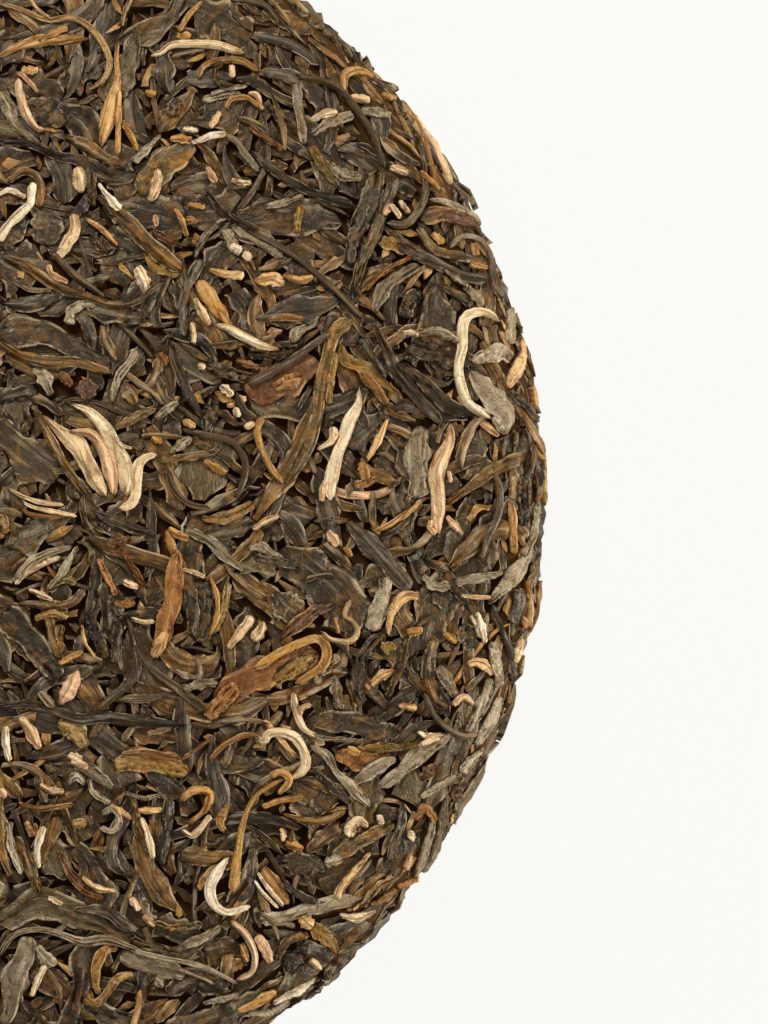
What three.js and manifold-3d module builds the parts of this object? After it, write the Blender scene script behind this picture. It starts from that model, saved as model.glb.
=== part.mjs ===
// A round cake of pressed tea leaves. It lies on its dimpled back with its domed face up.
// Millimetres, +Z up. The origin is the middle of the circle that the cake rests on.
import * as THREE from "three";
import { mergeVertices } from "three/addons/utils/BufferGeometryUtils.js";
import Module from "manifold-3d";

// Driving sizes of the pressed cake
const RADIUS = 100;
const HEIGHT = 24;
const SHOULDER_RADIUS = 89; // the face turns over into the rim here
const SHOULDER_HEIGHT = 15;
const RIM_HEIGHT = 7.5; // the cake is widest at this height
const FOOT_RADIUS = 89; // the flat back ends here
const DIMPLE_RADIUS = 27; // the knot of the pressing bag leaves this hollow in the back
const DIMPLE_DEPTH = 9;

// How far the leaves stand proud of the mass that they are pressed into
const RELIEF = 1.1;
const BACK_RELIEF = 0.7; // the back is pressed against a board
const BURIED = 1.5; // a leaf's own root below the mass it lies in

// The mass between the leaves is uneven, in broad swells
const SWELL = 0.35;
const CORE_SIDES = 54;
const CORE_RINGS = 20;
const RING_ARC = 9; // a ring at least this often along the outline
const RING_TURN = 0.3; // and as often as the outline turns by this angle
const SLIVER = 0.05; // joining leaves no edge finer than this

const LEAF_COLOUR = 0x5f4c36;

// Every random draw comes from this seeded generator, so the cake is always the same.
const draws = (seed) => {
  let state = seed;
  return () => {
    state = (state + 0x6d2b79f5) | 0;
    let t = Math.imul(state ^ (state >>> 15), 1 | state);
    t = (t + Math.imul(t ^ (t >>> 7), 61 | t)) ^ t;
    return ((t ^ (t >>> 14)) >>> 0) / 4294967296;
  };
};
const between = (draw, low, high) => low + (high - low) * draw();

// The outline that the leaf tops reach, from the dimple's middle round the rim to the face's middle
function profile() {
  const rim = RADIUS;
  const shoulder = SHOULDER_RADIUS;
  const dimple = DIMPLE_RADIUS;
  return new THREE.Path()
    .moveTo(0, DIMPLE_DEPTH)
    .bezierCurveTo(0.4 * dimple, DIMPLE_DEPTH, 0.6 * dimple, 0, dimple, 0)
    .lineTo(FOOT_RADIUS, 0)
    .bezierCurveTo(FOOT_RADIUS + 6.5, 0, rim, 0.45 * RIM_HEIGHT, rim, RIM_HEIGHT)
    .bezierCurveTo(rim, RIM_HEIGHT + 4, shoulder + 6, SHOULDER_HEIGHT - 1, shoulder, SHOULDER_HEIGHT)
    .bezierCurveTo(shoulder - 20, SHOULDER_HEIGHT + 3.4, 0.35 * rim, HEIGHT, 0, HEIGHT);
}

const OUTLINE_STEPS = 400;

// The same outline as closely spaced points, each with its outward normal in the (r, z) plane
const OUTLINE = (() => {
  const points = profile().getSpacedPoints(OUTLINE_STEPS);
  return points.map((p, i) => {
    const before = points[Math.max(i - 1, 0)];
    const after = points[Math.min(i + 1, points.length - 1)];
    const along = after.clone().sub(before).normalize();
    return { r: p.x, z: p.y, normalR: along.y, normalZ: -along.x };
  });
})();

// How deep the mass lies below the leaf tops at a point of the outline
function reliefAt(spot) {
  const onBack = THREE.MathUtils.smoothstep(-spot.normalZ, 0.6, 0.98);
  return THREE.MathUtils.lerp(RELIEF, BACK_RELIEF, onBack);
}

const ON_AXIS = 1e-6; // nearer the axis than this, a point has no direction of its own

// The nearest place on the leaf-top surface to a point, with the outward normal there
function nearest(point) {
  const r = Math.hypot(point.x, point.y);
  let best = OUTLINE[0];
  let least = Infinity;
  for (const spot of OUTLINE) {
    const gap = (spot.r - r) ** 2 + (spot.z - point.z) ** 2;
    if (gap < least) {
      least = gap;
      best = spot;
    }
  }
  const out = new THREE.Vector3(r > ON_AXIS ? point.x : 1, r > ON_AXIS ? point.y : 0, 0).normalize();
  const normal = out.clone().multiplyScalar(best.normalR).setZ(best.normalZ).normalize();
  return { place: out.multiplyScalar(best.r).setZ(best.z), normal, relief: reliefAt(best) };
}

// Broad swells of the mass, as three crossing waves
function swellAt(p) {
  const across = Math.sin(p.x / 11 + 0.7) * Math.cos(p.y / 13);
  const aslant = Math.sin((p.x + p.y) / 19) * Math.cos((p.x - p.y) / 9);
  return 0.5 * SWELL * (across + aslant);
}

const ROUNDING = 1e-9;

// Places along the outline for the rings of the mass, closer together where it turns
function ringSpots() {
  let passed = 0;
  const walked = OUTLINE.map((spot, i) => {
    const before = OUTLINE[Math.max(i - 1, 0)];
    const arc = Math.hypot(spot.r - before.r, spot.z - before.z);
    const turn = Math.hypot(spot.normalR - before.normalR, spot.normalZ - before.normalZ);
    passed += arc / RING_ARC + turn / RING_TURN;
    return passed;
  });
  return Array.from({ length: CORE_RINGS + 1 }, (_, i) => {
    const wanted = (passed * i) / CORE_RINGS;
    return OUTLINE[walked.findIndex((w) => w >= wanted - ROUNDING)];
  });
}

// The pressed mass: the outline turned about the axis, sunk by the relief and swollen a little
function coreGeometry() {
  const rings = ringSpots().map((spot) => {
    const sink = reliefAt(spot);
    return new THREE.Vector2(spot.r - sink * spot.normalR, spot.z - sink * spot.normalZ);
  });
  rings[0].x = 0;
  rings[CORE_RINGS].x = 0;
  const geometry = new THREE.LatheGeometry(rings, CORE_SIDES);
  geometry.rotateX(Math.PI / 2);
  const position = geometry.getAttribute("position");
  for (let i = 0; i < position.count; i++) {
    const p = new THREE.Vector3().fromBufferAttribute(position, i);
    const { normal } = nearest(p);
    p.addScaledVector(normal, swellAt(p));
    position.setXYZ(i, p.x, p.y, p.z);
  }
  return geometry;
}

// A path laid on the surface from its middle both ways: stations, each with a place, a heading and a
// normal. It bends evenly along its length, by the angle bend in all.
function layPath({ start, heading, length, bend }, stations) {
  const half = (stations - 1) / 2;
  const stride = length / (stations - 1);
  const walk = (sign) => {
    const found = [];
    let { place, normal, relief } = nearest(start);
    let ahead = heading.clone().multiplyScalar(sign);
    for (let i = 0; i <= half; i++) {
      ahead.projectOnPlane(normal).normalize();
      found.push({ place, normal, relief, ahead: ahead.clone().multiplyScalar(sign) });
      ahead.applyAxisAngle(normal, (sign * bend * stride) / length);
      ({ place, normal, relief } = nearest(place.clone().addScaledVector(ahead, stride)));
    }
    return found;
  };
  return [...walk(-1).slice(1).reverse(), ...walk(1)];
}

// One rolled leaf: a four-sided strip, wide in the middle and drawn in at both ends, with its root buried
const LEAF_SECTION = [
  { side: -0.58, rise: -1 },
  { side: -0.3, rise: 0.92 },
  { side: 0.24, rise: 1 },
  { side: 0.58, rise: -1 },
];

function leafGeometry(leaf) {
  const path = layPath(leaf, leaf.stations);
  const positions = [];
  path.forEach(({ place, normal, relief, ahead }, i) => {
    const t = i / (path.length - 1);
    const taper = leaf.tip + (1 - leaf.tip) * Math.sin(Math.PI * (0.08 + 0.84 * t)) ** 0.7;
    const across = new THREE.Vector3().crossVectors(normal, ahead);
    const top = leaf.proud * (0.62 + 0.38 * taper);
    for (const { side, rise } of LEAF_SECTION) {
      const lift = rise < 0 ? -relief - BURIED : -relief + rise * top * relief;
      positions.push(
        ...place
          .clone()
          .addScaledVector(across, side * leaf.width * taper)
          .addScaledVector(normal, lift)
          .toArray(),
      );
    }
  });
  return closedStrip(positions, LEAF_SECTION.length, path.length);
}

// Joins rows of points into a closed strip with a fan at each end
function closedStrip(positions, sides, rows) {
  const index = [];
  for (let row = 0; row < rows - 1; row++) {
    for (let k = 0; k < sides; k++) {
      const a = row * sides + k;
      const b = row * sides + ((k + 1) % sides);
      index.push(a, a + sides, b, b, a + sides, b + sides);
    }
  }
  const last = (rows - 1) * sides;
  for (let k = 1; k < sides - 1; k++) {
    index.push(0, k, k + 1);
    index.push(last, last + k + 1, last + k);
  }
  const geometry = new THREE.BufferGeometry();
  geometry.setAttribute("position", new THREE.Float32BufferAttribute(positions, 3));
  geometry.setIndex(index);
  return geometry;
}

// The face and the back: leaves spread evenly by the golden angle, turned every way
const GOLDEN_ANGLE = Math.PI * (3 - Math.sqrt(5));

function spreadLeaves({ seed, count, inner, outer, height, length, width, proud }) {
  const draw = draws(seed);
  return Array.from({ length: count }, (_, i) => {
    const share = (i + 0.5) / count;
    const r = Math.sqrt(inner ** 2 + (outer ** 2 - inner ** 2) * share);
    const angle = i * GOLDEN_ANGLE;
    const start = new THREE.Vector3(r * Math.cos(angle), r * Math.sin(angle), height);
    // near the rim the leaves lie along it, and further in they point anywhere
    const kept = 1 - 0.75 * THREE.MathUtils.smoothstep(r, 0.7 * RADIUS, RADIUS);
    const turn = angle + Math.PI / 2 + kept * Math.PI * between(draw, -0.5, 0.5);
    return {
      start,
      heading: new THREE.Vector3(Math.cos(turn), Math.sin(turn), 0),
      length: between(draw, ...length),
      width: between(draw, ...width),
      bend: between(draw, -1.1, 1.1),
      proud: between(draw, ...proud),
      tip: between(draw, 0.25, 0.5),
      stations: 5,
    };
  });
}

const LOW_ROW = 0.62; // heights of the two rows of leaves round the rim, as shares of RIM_HEIGHT
const HIGH_ROW = 1.3;

// The rim: leaves laid end to end round it, in two rows, each a little askew
function rimLeaves({ seed, count, length, width }) {
  const draw = draws(seed);
  return Array.from({ length: count }, (_, i) => {
    const angle = ((i + between(draw, -0.25, 0.25)) / count) * 2 * Math.PI;
    const row = i % 2 ? LOW_ROW : HIGH_ROW;
    const out = new THREE.Vector3(Math.cos(angle), Math.sin(angle), 0);
    return {
      start: out.clone().multiplyScalar(RADIUS).setZ(row * RIM_HEIGHT),
      heading: new THREE.Vector3(-out.y, out.x, between(draw, -0.3, 0.3)),
      length: between(draw, ...length),
      width: between(draw, ...width),
      bend: between(draw, -0.3, 0.3),
      proud: between(draw, 0.8, 1),
      tip: between(draw, 0.25, 0.5),
      stations: 5,
    };
  });
}

const FACE = {
  seed: 11,
  count: 66,
  inner: 2,
  outer: 88,
  height: HEIGHT,
  length: [18, 34],
  width: [3.2, 6.4],
  proud: [0.75, 1],
};
const BACK = {
  seed: 23,
  count: 34,
  inner: 40,
  outer: 83,
  height: 0,
  length: [17, 30],
  width: [3.8, 6.8],
  proud: [1, 1.15],
};
const DIMPLE = {
  seed: 37,
  count: 6,
  inner: 7,
  outer: 18,
  height: 3,
  length: [9, 13],
  width: [2.6, 4],
  proud: [0.7, 1],
};
const RIM = { seed: 41, count: 36, length: [17, 25], width: [3, 4.8] };

const wasm = await Module();
wasm.setup();

// A closed geometry as a solid for joining
function solidFrom(geometry) {
  const bare = geometry.clone().deleteAttribute("normal").deleteAttribute("uv");
  const merged = mergeVertices(bare, 1e-4);
  return new wasm.Manifold(
    new wasm.Mesh({
      numProp: 3,
      vertProperties: merged.getAttribute("position").array,
      triVerts: new Uint32Array(merged.index.array),
    }),
  );
}

function geometryFrom(solid) {
  const mesh = solid.getMesh();
  const geometry = new THREE.BufferGeometry();
  geometry.setAttribute("position", new THREE.BufferAttribute(mesh.vertProperties, 3));
  geometry.setIndex(new THREE.BufferAttribute(mesh.triVerts, 1));
  geometry.computeVertexNormals();
  return geometry;
}

// The mass and its leaves become one solid, and the board that the back is pressed on cuts it flat.
function cakeGeometry() {
  const leaves = [FACE, BACK, DIMPLE].flatMap(spreadLeaves).concat(rimLeaves(RIM));
  const pieces = [coreGeometry(), ...leaves.map(leafGeometry)].map(solidFrom);
  const pressed = wasm.Manifold.union(pieces).trimByPlane([0, 0, 1], 0);
  return geometryFrom(pressed.asOriginal().simplify(SLIVER));
}

const cake = new THREE.Group();
const material = new THREE.MeshStandardMaterial({ color: LEAF_COLOUR, roughness: 0.75, metalness: 0 });
const mesh = new THREE.Mesh(cakeGeometry(), material);
mesh.name = "tea_cake";
cake.add(mesh);

export default cake;
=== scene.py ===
import math

import bpy
import numpy as np
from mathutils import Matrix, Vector


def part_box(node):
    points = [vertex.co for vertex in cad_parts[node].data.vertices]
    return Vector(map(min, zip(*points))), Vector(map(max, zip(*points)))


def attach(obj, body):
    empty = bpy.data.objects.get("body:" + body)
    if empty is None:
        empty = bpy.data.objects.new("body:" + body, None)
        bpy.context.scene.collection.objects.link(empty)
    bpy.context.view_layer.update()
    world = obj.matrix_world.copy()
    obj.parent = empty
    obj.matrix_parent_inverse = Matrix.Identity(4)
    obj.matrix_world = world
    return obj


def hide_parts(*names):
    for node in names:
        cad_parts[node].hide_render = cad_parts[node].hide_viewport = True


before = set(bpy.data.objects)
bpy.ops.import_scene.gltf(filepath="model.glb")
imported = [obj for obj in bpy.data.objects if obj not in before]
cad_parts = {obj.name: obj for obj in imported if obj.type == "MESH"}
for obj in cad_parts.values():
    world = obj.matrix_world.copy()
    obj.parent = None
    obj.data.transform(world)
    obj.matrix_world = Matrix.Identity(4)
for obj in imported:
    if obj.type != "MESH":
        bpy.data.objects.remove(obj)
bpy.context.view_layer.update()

# The pressed mass
# Crumbled leaf and leaf dust fill the cake between the leaves that show. It was all steamed soft, wrung
# in a cloth bag and pressed on a board, so it is round, domed above and flat below, with the hollow that
# the bag's knot left. Sizes here and below are in millimetres, and a mesh is made in metres.
MM = 0.001
low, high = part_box("tea_cake")
RADIUS = (high.x - low.x) / 2 / MM
HEIGHT = high.z / MM
SHOULDER_RADIUS, SHOULDER_HEIGHT = 0.89 * RADIUS, 0.625 * HEIGHT
RIM_HEIGHT = 0.3125 * HEIGHT
FOOT_RADIUS = 0.89 * RADIUS
DIMPLE_RADIUS, DIMPLE_DEPTH = 0.27 * RADIUS, 0.375 * HEIGHT
LEVEL_FACE = 0.35 * RADIUS  # the face leaves the middle level for this far
OVER_SHOULDER = ((-20, 3.4), (6, -1))  # where the line over the shoulder comes from, and where it heads
ABOVE_RIM, BELOW_RIM = RIM_HEIGHT + 4, 0.45 * RIM_HEIGHT  # the rim stands upright between these
FOOT_ROUNDING = 6.5  # how far out of the foot the rim's underside curves to it
OUTLINE_STEP = 0.25
MAT_DEPTH, RIM_MAT_DEPTH = 2.3, 0.9  # the mass starts this far below the leaf tops
LEAST_RADIUS = 0.4  # of a ring at the dimple's middle
RIM_BLEND, RIM_LEVEL = 9, 0.6  # the mat thickens over this length, and starts to at this share of it
CORE_SIDES = 96
CORE_RING = 3.2  # from ring to ring along the outline


def bezier(a, b, c, d, steps=160):
    """Points on the curve from a to d that sets out for b and comes in from c."""
    t = np.linspace(0, 1, steps, endpoint=False)[:, None]
    a, b, c, d = (np.array(p, float) for p in (a, b, c, d))
    return (1 - t) ** 3 * a + 3 * (1 - t) ** 2 * t * b + 3 * (1 - t) * t**2 * c + t**3 * d


def outline():
    """The line that the leaf tops reach, from the face's middle over the rim to the dimple's middle."""
    shoulder = (SHOULDER_RADIUS, SHOULDER_HEIGHT)
    above, beyond = ((SHOULDER_RADIUS + x, SHOULDER_HEIGHT + z) for x, z in OVER_SHOULDER)
    rim = (RADIUS, RIM_HEIGHT)
    foot = (FOOT_RADIUS, 0)
    lip = (DIMPLE_RADIUS, 0)
    return np.concatenate((
        bezier((0, HEIGHT), (LEVEL_FACE, HEIGHT), above, shoulder),
        bezier(shoulder, beyond, (RADIUS, ABOVE_RIM), rim),
        bezier(rim, (RADIUS, BELOW_RIM), (FOOT_RADIUS + FOOT_ROUNDING, 0), foot),
        bezier(foot, foot, lip, lip),
        bezier(lip, (0.6 * DIMPLE_RADIUS, 0), (0.4 * DIMPLE_RADIUS, DIMPLE_DEPTH), (0, DIMPLE_DEPTH)),
        [(0, DIMPLE_DEPTH)],
    ))


def spaced(points, gap):
    """The same line in even steps: how far along, where, and the way out of the cake there."""
    far = np.concatenate(([0], np.cumsum(np.hypot(*np.diff(points, axis=0).T))))
    steps = int(far[-1] / gap)
    even = np.linspace(0, far[-1], steps + 1)
    place = np.stack([np.interp(even, far, points[:, k]) for k in (0, 1)], -1)
    along = np.gradient(place, axis=0)
    along /= np.linalg.norm(along, axis=1)[:, None]
    return even, place, np.stack((-along[:, 1], along[:, 0]), -1)


REACH, LINE, OUTWARD = spaced(outline(), OUTLINE_STEP)
REACH_END = REACH[-1]
RIM_REACH = REACH[LINE[:, 0].argmax()]


def select_only(piece):
    """Makes one piece the selected and active one."""
    bpy.ops.object.select_all(action="DESELECT")
    piece.select_set(True)
    bpy.context.view_layer.objects.active = piece


def model_core():
    """The mass, extruded ring by ring over the rim from the face to the dimple."""
    rings = np.arange(CORE_RING, REACH_END, CORE_RING)
    off_rim = np.clip(np.abs(REACH - RIM_REACH) / RIM_BLEND - RIM_LEVEL, 0, 1)[:, None]
    sunk = LINE - (RIM_MAT_DEPTH + (MAT_DEPTH - RIM_MAT_DEPTH) * off_rim) * OUTWARD
    sunk[:, 0] = np.maximum(sunk[:, 0], LEAST_RADIUS)
    radius, height = (np.interp(rings, REACH, sunk[:, k]) * MM for k in (0, 1))
    bpy.ops.object.select_all(action="DESELECT")
    bpy.ops.mesh.primitive_circle_add(
        vertices=CORE_SIDES, radius=radius[0], fill_type="NGON", location=(0, 0, height[0]))
    core = bpy.context.object
    core.name = core.data.name = "pressed_core"
    bpy.ops.object.transform_apply(location=True, rotation=True, scale=True)
    bpy.ops.object.mode_set(mode="EDIT")
    bpy.ops.mesh.select_all(action="SELECT")
    for ring in range(1, len(rings)):
        rise = height[ring] - height[ring - 1]
        wider = radius[ring] / radius[ring - 1]
        bpy.ops.mesh.extrude_region_move(TRANSFORM_OT_translate={"value": (0, 0, rise)})
        bpy.ops.transform.resize(value=(wider, wider, 1), center_override=(0, 0, height[ring]))
    bpy.ops.mesh.select_all(action="SELECT")
    bpy.ops.mesh.normals_make_consistent(inside=False)
    bpy.ops.object.mode_set(mode="OBJECT")
    return core


core = model_core()
mass = bpy.data.materials.new("pressed_mass")
mass.use_nodes = True
mass_shader = mass.node_tree.nodes["Principled BSDF"].inputs
mass_shader["Base Color"].default_value = (0.065, 0.028, 0.008, 1)
mass_shader["Roughness"].default_value = 0.9
mass_shader["Specular IOR Level"].default_value = 0.1
core.data.materials.append(mass)
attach(core, "root")
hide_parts("tea_cake")

# Dry leaf, as every leaf of the cake has it
# A tea leaf rolled, sun dried and aged: fibres run along it and its ridges are a little glossy. Its
# ridges are made paler, partly as wear and partly as a painted highlight, and its furrows and the leaves
# low in the mat are darkened with painted shade. The leaves of all kinds lie in one mat, so how they are
# grown, laid over each other and joined to pieces is worked out here, before the first kind.
TURN = 2 * math.pi
GOLDEN_ANGLE = math.pi * (3 - math.sqrt(5))
LOOKUP = 0.25  # the nearest point of the outline is looked up on a grid this fine
LOOKUP_LOW, LOOKUP_ROOM = -6, (10, 8)  # where the grid starts, and its room past the rim and the face


def outline_lookup():
    """For a grid over a section of the cake, which point of the outline is nearest."""
    r = np.arange(0, RADIUS + LOOKUP_ROOM[0], LOOKUP)
    z = np.arange(LOOKUP_LOW, HEIGHT + LOOKUP_ROOM[1], LOOKUP)
    column = lambda x: np.stack((np.full_like(z, x), z), -1)[:, None]
    return np.stack([((column(x) - LINE) ** 2).sum(-1).argmin(1) for x in r])


NEAREST = outline_lookup()


def nearest(points):
    """The reach along the outline and the angle round the axis of the surface under each point."""
    r, z = np.hypot(points[..., 0], points[..., 1]), points[..., 2]
    i = np.clip(np.rint(r / LOOKUP).astype(int), 0, NEAREST.shape[0] - 1)
    j = np.clip(np.rint((z - LOOKUP_LOW) / LOOKUP).astype(int), 0, NEAREST.shape[1] - 1)
    spot = NEAREST[i, j]
    beside = (r - LINE[spot, 0]) * OUTWARD[spot, 1] - (z - LINE[spot, 1]) * OUTWARD[spot, 0]
    reach = np.clip(REACH[spot] + beside, 0, REACH_END)
    return reach, np.arctan2(points[..., 1], points[..., 0])


def surface(reach, angle):
    """The place that the leaf tops reach, and the way out of the cake there."""
    r, z = (np.interp(reach, REACH, LINE[:, k]) for k in (0, 1))
    out_r, out_z = (np.interp(reach, REACH, OUTWARD[:, k]) for k in (0, 1))
    cos, sin = np.cos(angle), np.sin(angle)
    return np.stack((r * cos, r * sin, z), -1), np.stack((out_r * cos, out_r * sin, out_z), -1)


def unit(vectors):
    """The same directions, each one long."""
    return vectors / np.maximum(np.linalg.norm(vectors, axis=-1, keepdims=True), 1e-9)


def walk(place, ahead, stride, turns):
    """Steps over the surface from a start, one path for each leaf, turning a little at each step."""
    path = []
    for turn in turns.T[..., None]:
        place, out = surface(*nearest(place))
        ahead = unit(ahead - (ahead * out).sum(-1, keepdims=True) * out)
        path.append((place, out, ahead))
        ahead = np.cos(turn) * ahead + np.sin(turn) * np.cross(out, ahead)
        place = place + stride[:, None] * ahead
    return [np.stack(rows, 1) for rows in zip(*path)]


def waves(rng, count, slowest, fastest, *along):
    """A smooth value that wanders between -1 and 1 along each leaf, or over it."""
    total = 0
    for _ in range(3):
        phase = rng.uniform(0, TURN, (count,) + (1,) * along[0].ndim)
        for line in along:
            sign = rng.choice((-1, 1), (count,) + (1,) * line.ndim)
            phase = phase + TURN * sign * rng.uniform(slowest, fastest, phase.shape) * line[None]
        total = total + np.sin(phase)
    return total / 3


def ease(x, low=0.0, high=1.0):
    """A smooth step from 0 to 1 as x goes from low to high."""
    x = np.clip((x - low) / (high - low), 0, 1)
    return x * x * (3 - 2 * x)


RIM_TURNED, RIM_STRAIGHTENED = 0.82, 0.6  # the share that the rim takes of a leaf's free turn and bend


def scattered(rng, kind):
    """Paths for a kind's leaves, spread evenly over the whole cake and turned every way."""
    count, stations = kind["count"], kind["stations"]
    area = np.cumsum(LINE[:, 0])
    share = (np.arange(count) + rng.uniform(0.1, 0.9, count)) / count
    reach = np.interp(share * area[-1], area, REACH)
    angle = np.arange(count) * GOLDEN_ANGLE + rng.uniform(0, TURN)
    if "places" in kind:
        reach, angle = kind["places"]
    start, out = surface(reach, angle)
    round_rim = np.stack((-np.sin(angle), np.cos(angle), np.zeros(count)), -1)
    # leaves near the rim were turned along it by the bag, and further in they point anywhere
    at_rim = 1 - ease(np.abs(reach - RIM_REACH), 3, 22)
    stray = rng.uniform(-0.5, 0.5, count) * math.pi * (1 - RIM_TURNED * at_rim)
    stray = (stray + math.pi * rng.integers(0, 2, count))[:, None]
    ahead = np.cos(stray) * round_rim + np.sin(stray) * np.cross(out, round_rim)
    length = rng.uniform(0, 1, count) ** 1.4 * np.ptp(kind["length"]) + kind["length"][0]
    width = rng.uniform(0, 1, count) ** 1.3 * np.ptp(kind["width"]) + kind["width"][0]
    stride = length / (stations - 1)
    bend = rng.normal(0, kind["bend"], (count, 1)) * (1 - RIM_STRAIGHTENED * at_rim[:, None])
    t = np.linspace(0, 1, stations)
    hook = waves(rng, count, 0.3, 1.1, t) * rng.uniform(0.3, 1, (count, 1)) * kind["bend"] * 1.6
    ends = [rng.normal(0, kind["hooked"], (count, 1)) * ease(far, 0.5, 1) for far in (t, 1 - t)]
    turns = (bend + hook + ends[0] + ends[1]) * stride[:, None] / 10
    half = stations // 2
    on = walk(start, ahead, stride, turns[:, half:])
    back = walk(start, -ahead, stride, -turns[:, half::-1])
    back[2] = -back[2]
    path = [np.concatenate((b[:, :0:-1], f), 1) for b, f in zip(back, on)]
    return path, length, width


PHOTO_MIDDLE, PHOTO_SCALE = (-90.1, 500.7), 6.38  # the cake's middle in the photo, and pixels for each mm
PHOTO_LEFT = -PHOTO_MIDDLE[0] / PHOTO_SCALE  # the photo shows the cake to the right of this, in mm
ROUNDED = 0.35  # of its width is how far a traced leaf's end takes to reach that width
BLUNT = 0.25  # of its width is what it has at the very end


def traced(kind):
    """Paths for the leaves that are told apart in view. A kind's in_view gives for each its widths from
    end to end, its tone from dark, 0, to pale, 1, and the points that its middle passes. Widths and
    points are in pixels of the photo, with x to the right and y down."""
    stations = kind["stations"]
    paths, lengths, profiles = [], [], []
    for widths, _, *points in kind["in_view"].values():
        knots = np.array(points, float)
        knots = np.concatenate((2 * knots[:1] - knots[1:2], knots, 2 * knots[-1:] - knots[-2:-1]))
        t = np.linspace(0, 1, 12, endpoint=False)[:, None]
        bends = []  # a smooth line through the points
        for a, b, c, d in zip(knots, knots[1:], knots[2:], knots[3:]):
            bends.append(b + 0.5 * t * (c - a + t * (2 * a - 5 * b + 4 * c - d + t * (3 * (b - c) + d - a))))
        line = (np.concatenate(bends + [knots[-2:-1]]) - PHOTO_MIDDLE) * (1, -1) / PHOTO_SCALE
        far = np.concatenate(([0], np.cumsum(np.hypot(*np.diff(line, axis=0).T))))
        even = np.linspace(0, far[-1], stations)
        x, y = (np.interp(even, far, line[:, k]) for k in (0, 1))
        face = REACH < RIM_REACH
        reach = np.interp(np.hypot(x, y), LINE[face, 0], REACH[face])
        place, out = surface(reach, np.arctan2(y, x))
        ahead = unit(np.gradient(place, axis=0))
        ahead = unit(ahead - (ahead * out).sum(-1, keepdims=True) * out)
        paths.append((place, out, ahead))
        lengths.append(far[-1])
        share = even / far[-1]
        wide = np.interp(share, np.linspace(0, 1, len(widths)), widths) / PHOTO_SCALE
        from_end = np.minimum(share, 1 - share) * far[-1] / (ROUNDED * wide)
        profiles.append(wide * (BLUNT + (1 - BLUNT) * np.sqrt(1 - (1 - np.minimum(from_end, 1)) ** 2)))
    return [np.stack(rows) for rows in zip(*paths)], np.array(lengths), np.stack(profiles)


def leaf_form(rng, kind, width, length, t, u, profile=None):
    """Half of each leaf's width along it, how far its upper side stands up, and how its ends are torn.
    t runs along the leaf and u across it, and a traced leaf brings its own profile of widths."""
    count = len(width)
    between = lambda low, high: rng.uniform(low, high, (count, 1, 1))
    width = width[:, None, None]
    along = t[:, None] * np.ones_like(u)
    across = u * np.ones_like(along)
    taper, torn = 1, 0
    for from_end in (along, 1 - along):
        blunt = kind["tip"][0] + np.ptp(kind["tip"]) * between(0, 1) ** 1.5
        taper = taper * (blunt + (1 - blunt) * ease(from_end / between(*kind["drawn_in"])) ** 0.7)
        ragged = between(-1.1, 1.1) * across + 0.35 * waves(rng, count, 1, 3, across)
        torn = torn + ragged * blunt * (1 - ease(from_end / 0.3))
    wobble = kind["wobble"]
    if profile is not None:
        taper, torn, wobble = (profile[..., None] / width), 0.5 * torn, 0.6 * wobble
    wander = 1 + wobble * waves(rng, count, 0.8, 2.6, t)[..., None]
    left, right = (1 + wobble * waves(rng, count, 1, 4, t)[..., None] for _ in range(2))
    half = 0.5 * width * taper * wander * np.where(across > 0, left, right)
    thick = between(*kind["thick"]) * np.minimum(1.2, 0.4 + 0.3 * width)
    turned = across + between(*kind["twist"]) * (along - 0.5)
    furrow = 0.5 - 0.5 * np.cos(TURN * (0.5 * between(*kind["ridges"]) * turned + between(0, 1)))
    body = kind["edge"] + (1 - kind["edge"]) * np.sqrt(1 - 0.92 * across**2)
    lift = thick * taper**0.5 * body * (1 - kind["furrow"] * furrow**1.5)
    crease = (1 - np.abs(waves(rng, count, 0.5, 2.2, along, across))) ** 4
    crumple = kind["crumple"] * thick * np.clip(length[:, None, None] / (3 * width), 0.3, 1)
    lift = lift + crumple * (0.5 * waves(rng, count, 0.6, 2.4, along, across) + 0.5 * crease)
    curl = ease(rng.choice((-1, 1), (count, 1, 1)) * across, 0.45, 1)
    curl = curl * (0.6 + 0.4 * waves(rng, count, 0.5, 1.5, along))
    rib = np.exp(-((across / 0.09) ** 2)) - 0.6 * np.exp(-(((np.abs(across) - 0.2) / 0.08) ** 2))
    lift = lift + between(*kind["curl"]) * curl + kind["rib"] * rib
    return half, lift, torn * half.max(axis=2, keepdims=True)


# two maps, of the face and of the back, hold how low the leaves laid so far reach over each place
CELL = 0.4  # a cell's side
MAP_REACH = 128  # from a map's middle to its edges
MAP_SIDE = int(2 * MAP_REACH / CELL)
OPEN_SKY = 9.0  # no leaf lies over the cell
covered = [np.full((MAP_SIDE, MAP_SIDE), OPEN_SKY, np.float32) for _ in range(2)]


def map_cells(reach, angle, side, grow_t, grow_u):
    """The cells of one map under each leaf, on a grid some times finer than its own points."""
    far = reach if side == 0 else REACH_END - reach
    cells = []
    for wave in (np.cos, np.sin):
        on_map = MAP_SIDE / 2 + far * wave(angle) / CELL
        along, across = finer(on_map.shape[1], grow_t), finer(on_map.shape[2], grow_u)
        fine = np.einsum("ai,nij,bj->nab", along, on_map, across)
        cells.append(np.clip(np.rint(fine), 0, MAP_SIDE - 1).astype(np.int32))
    return cells


def finer(points, times):
    """Weights that read a row of points at some times as many places, in equal blocks round each point."""
    at = np.clip((np.arange(points * times) + 0.5) / times - 0.5, 0, points - 1)
    low = np.minimum(at.astype(int), points - 2)
    weights = np.zeros((points * times, points))
    weights[np.arange(points * times), low] = 1 - (at - low)
    weights[np.arange(points * times), low + 1] = at - low
    return weights


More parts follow.
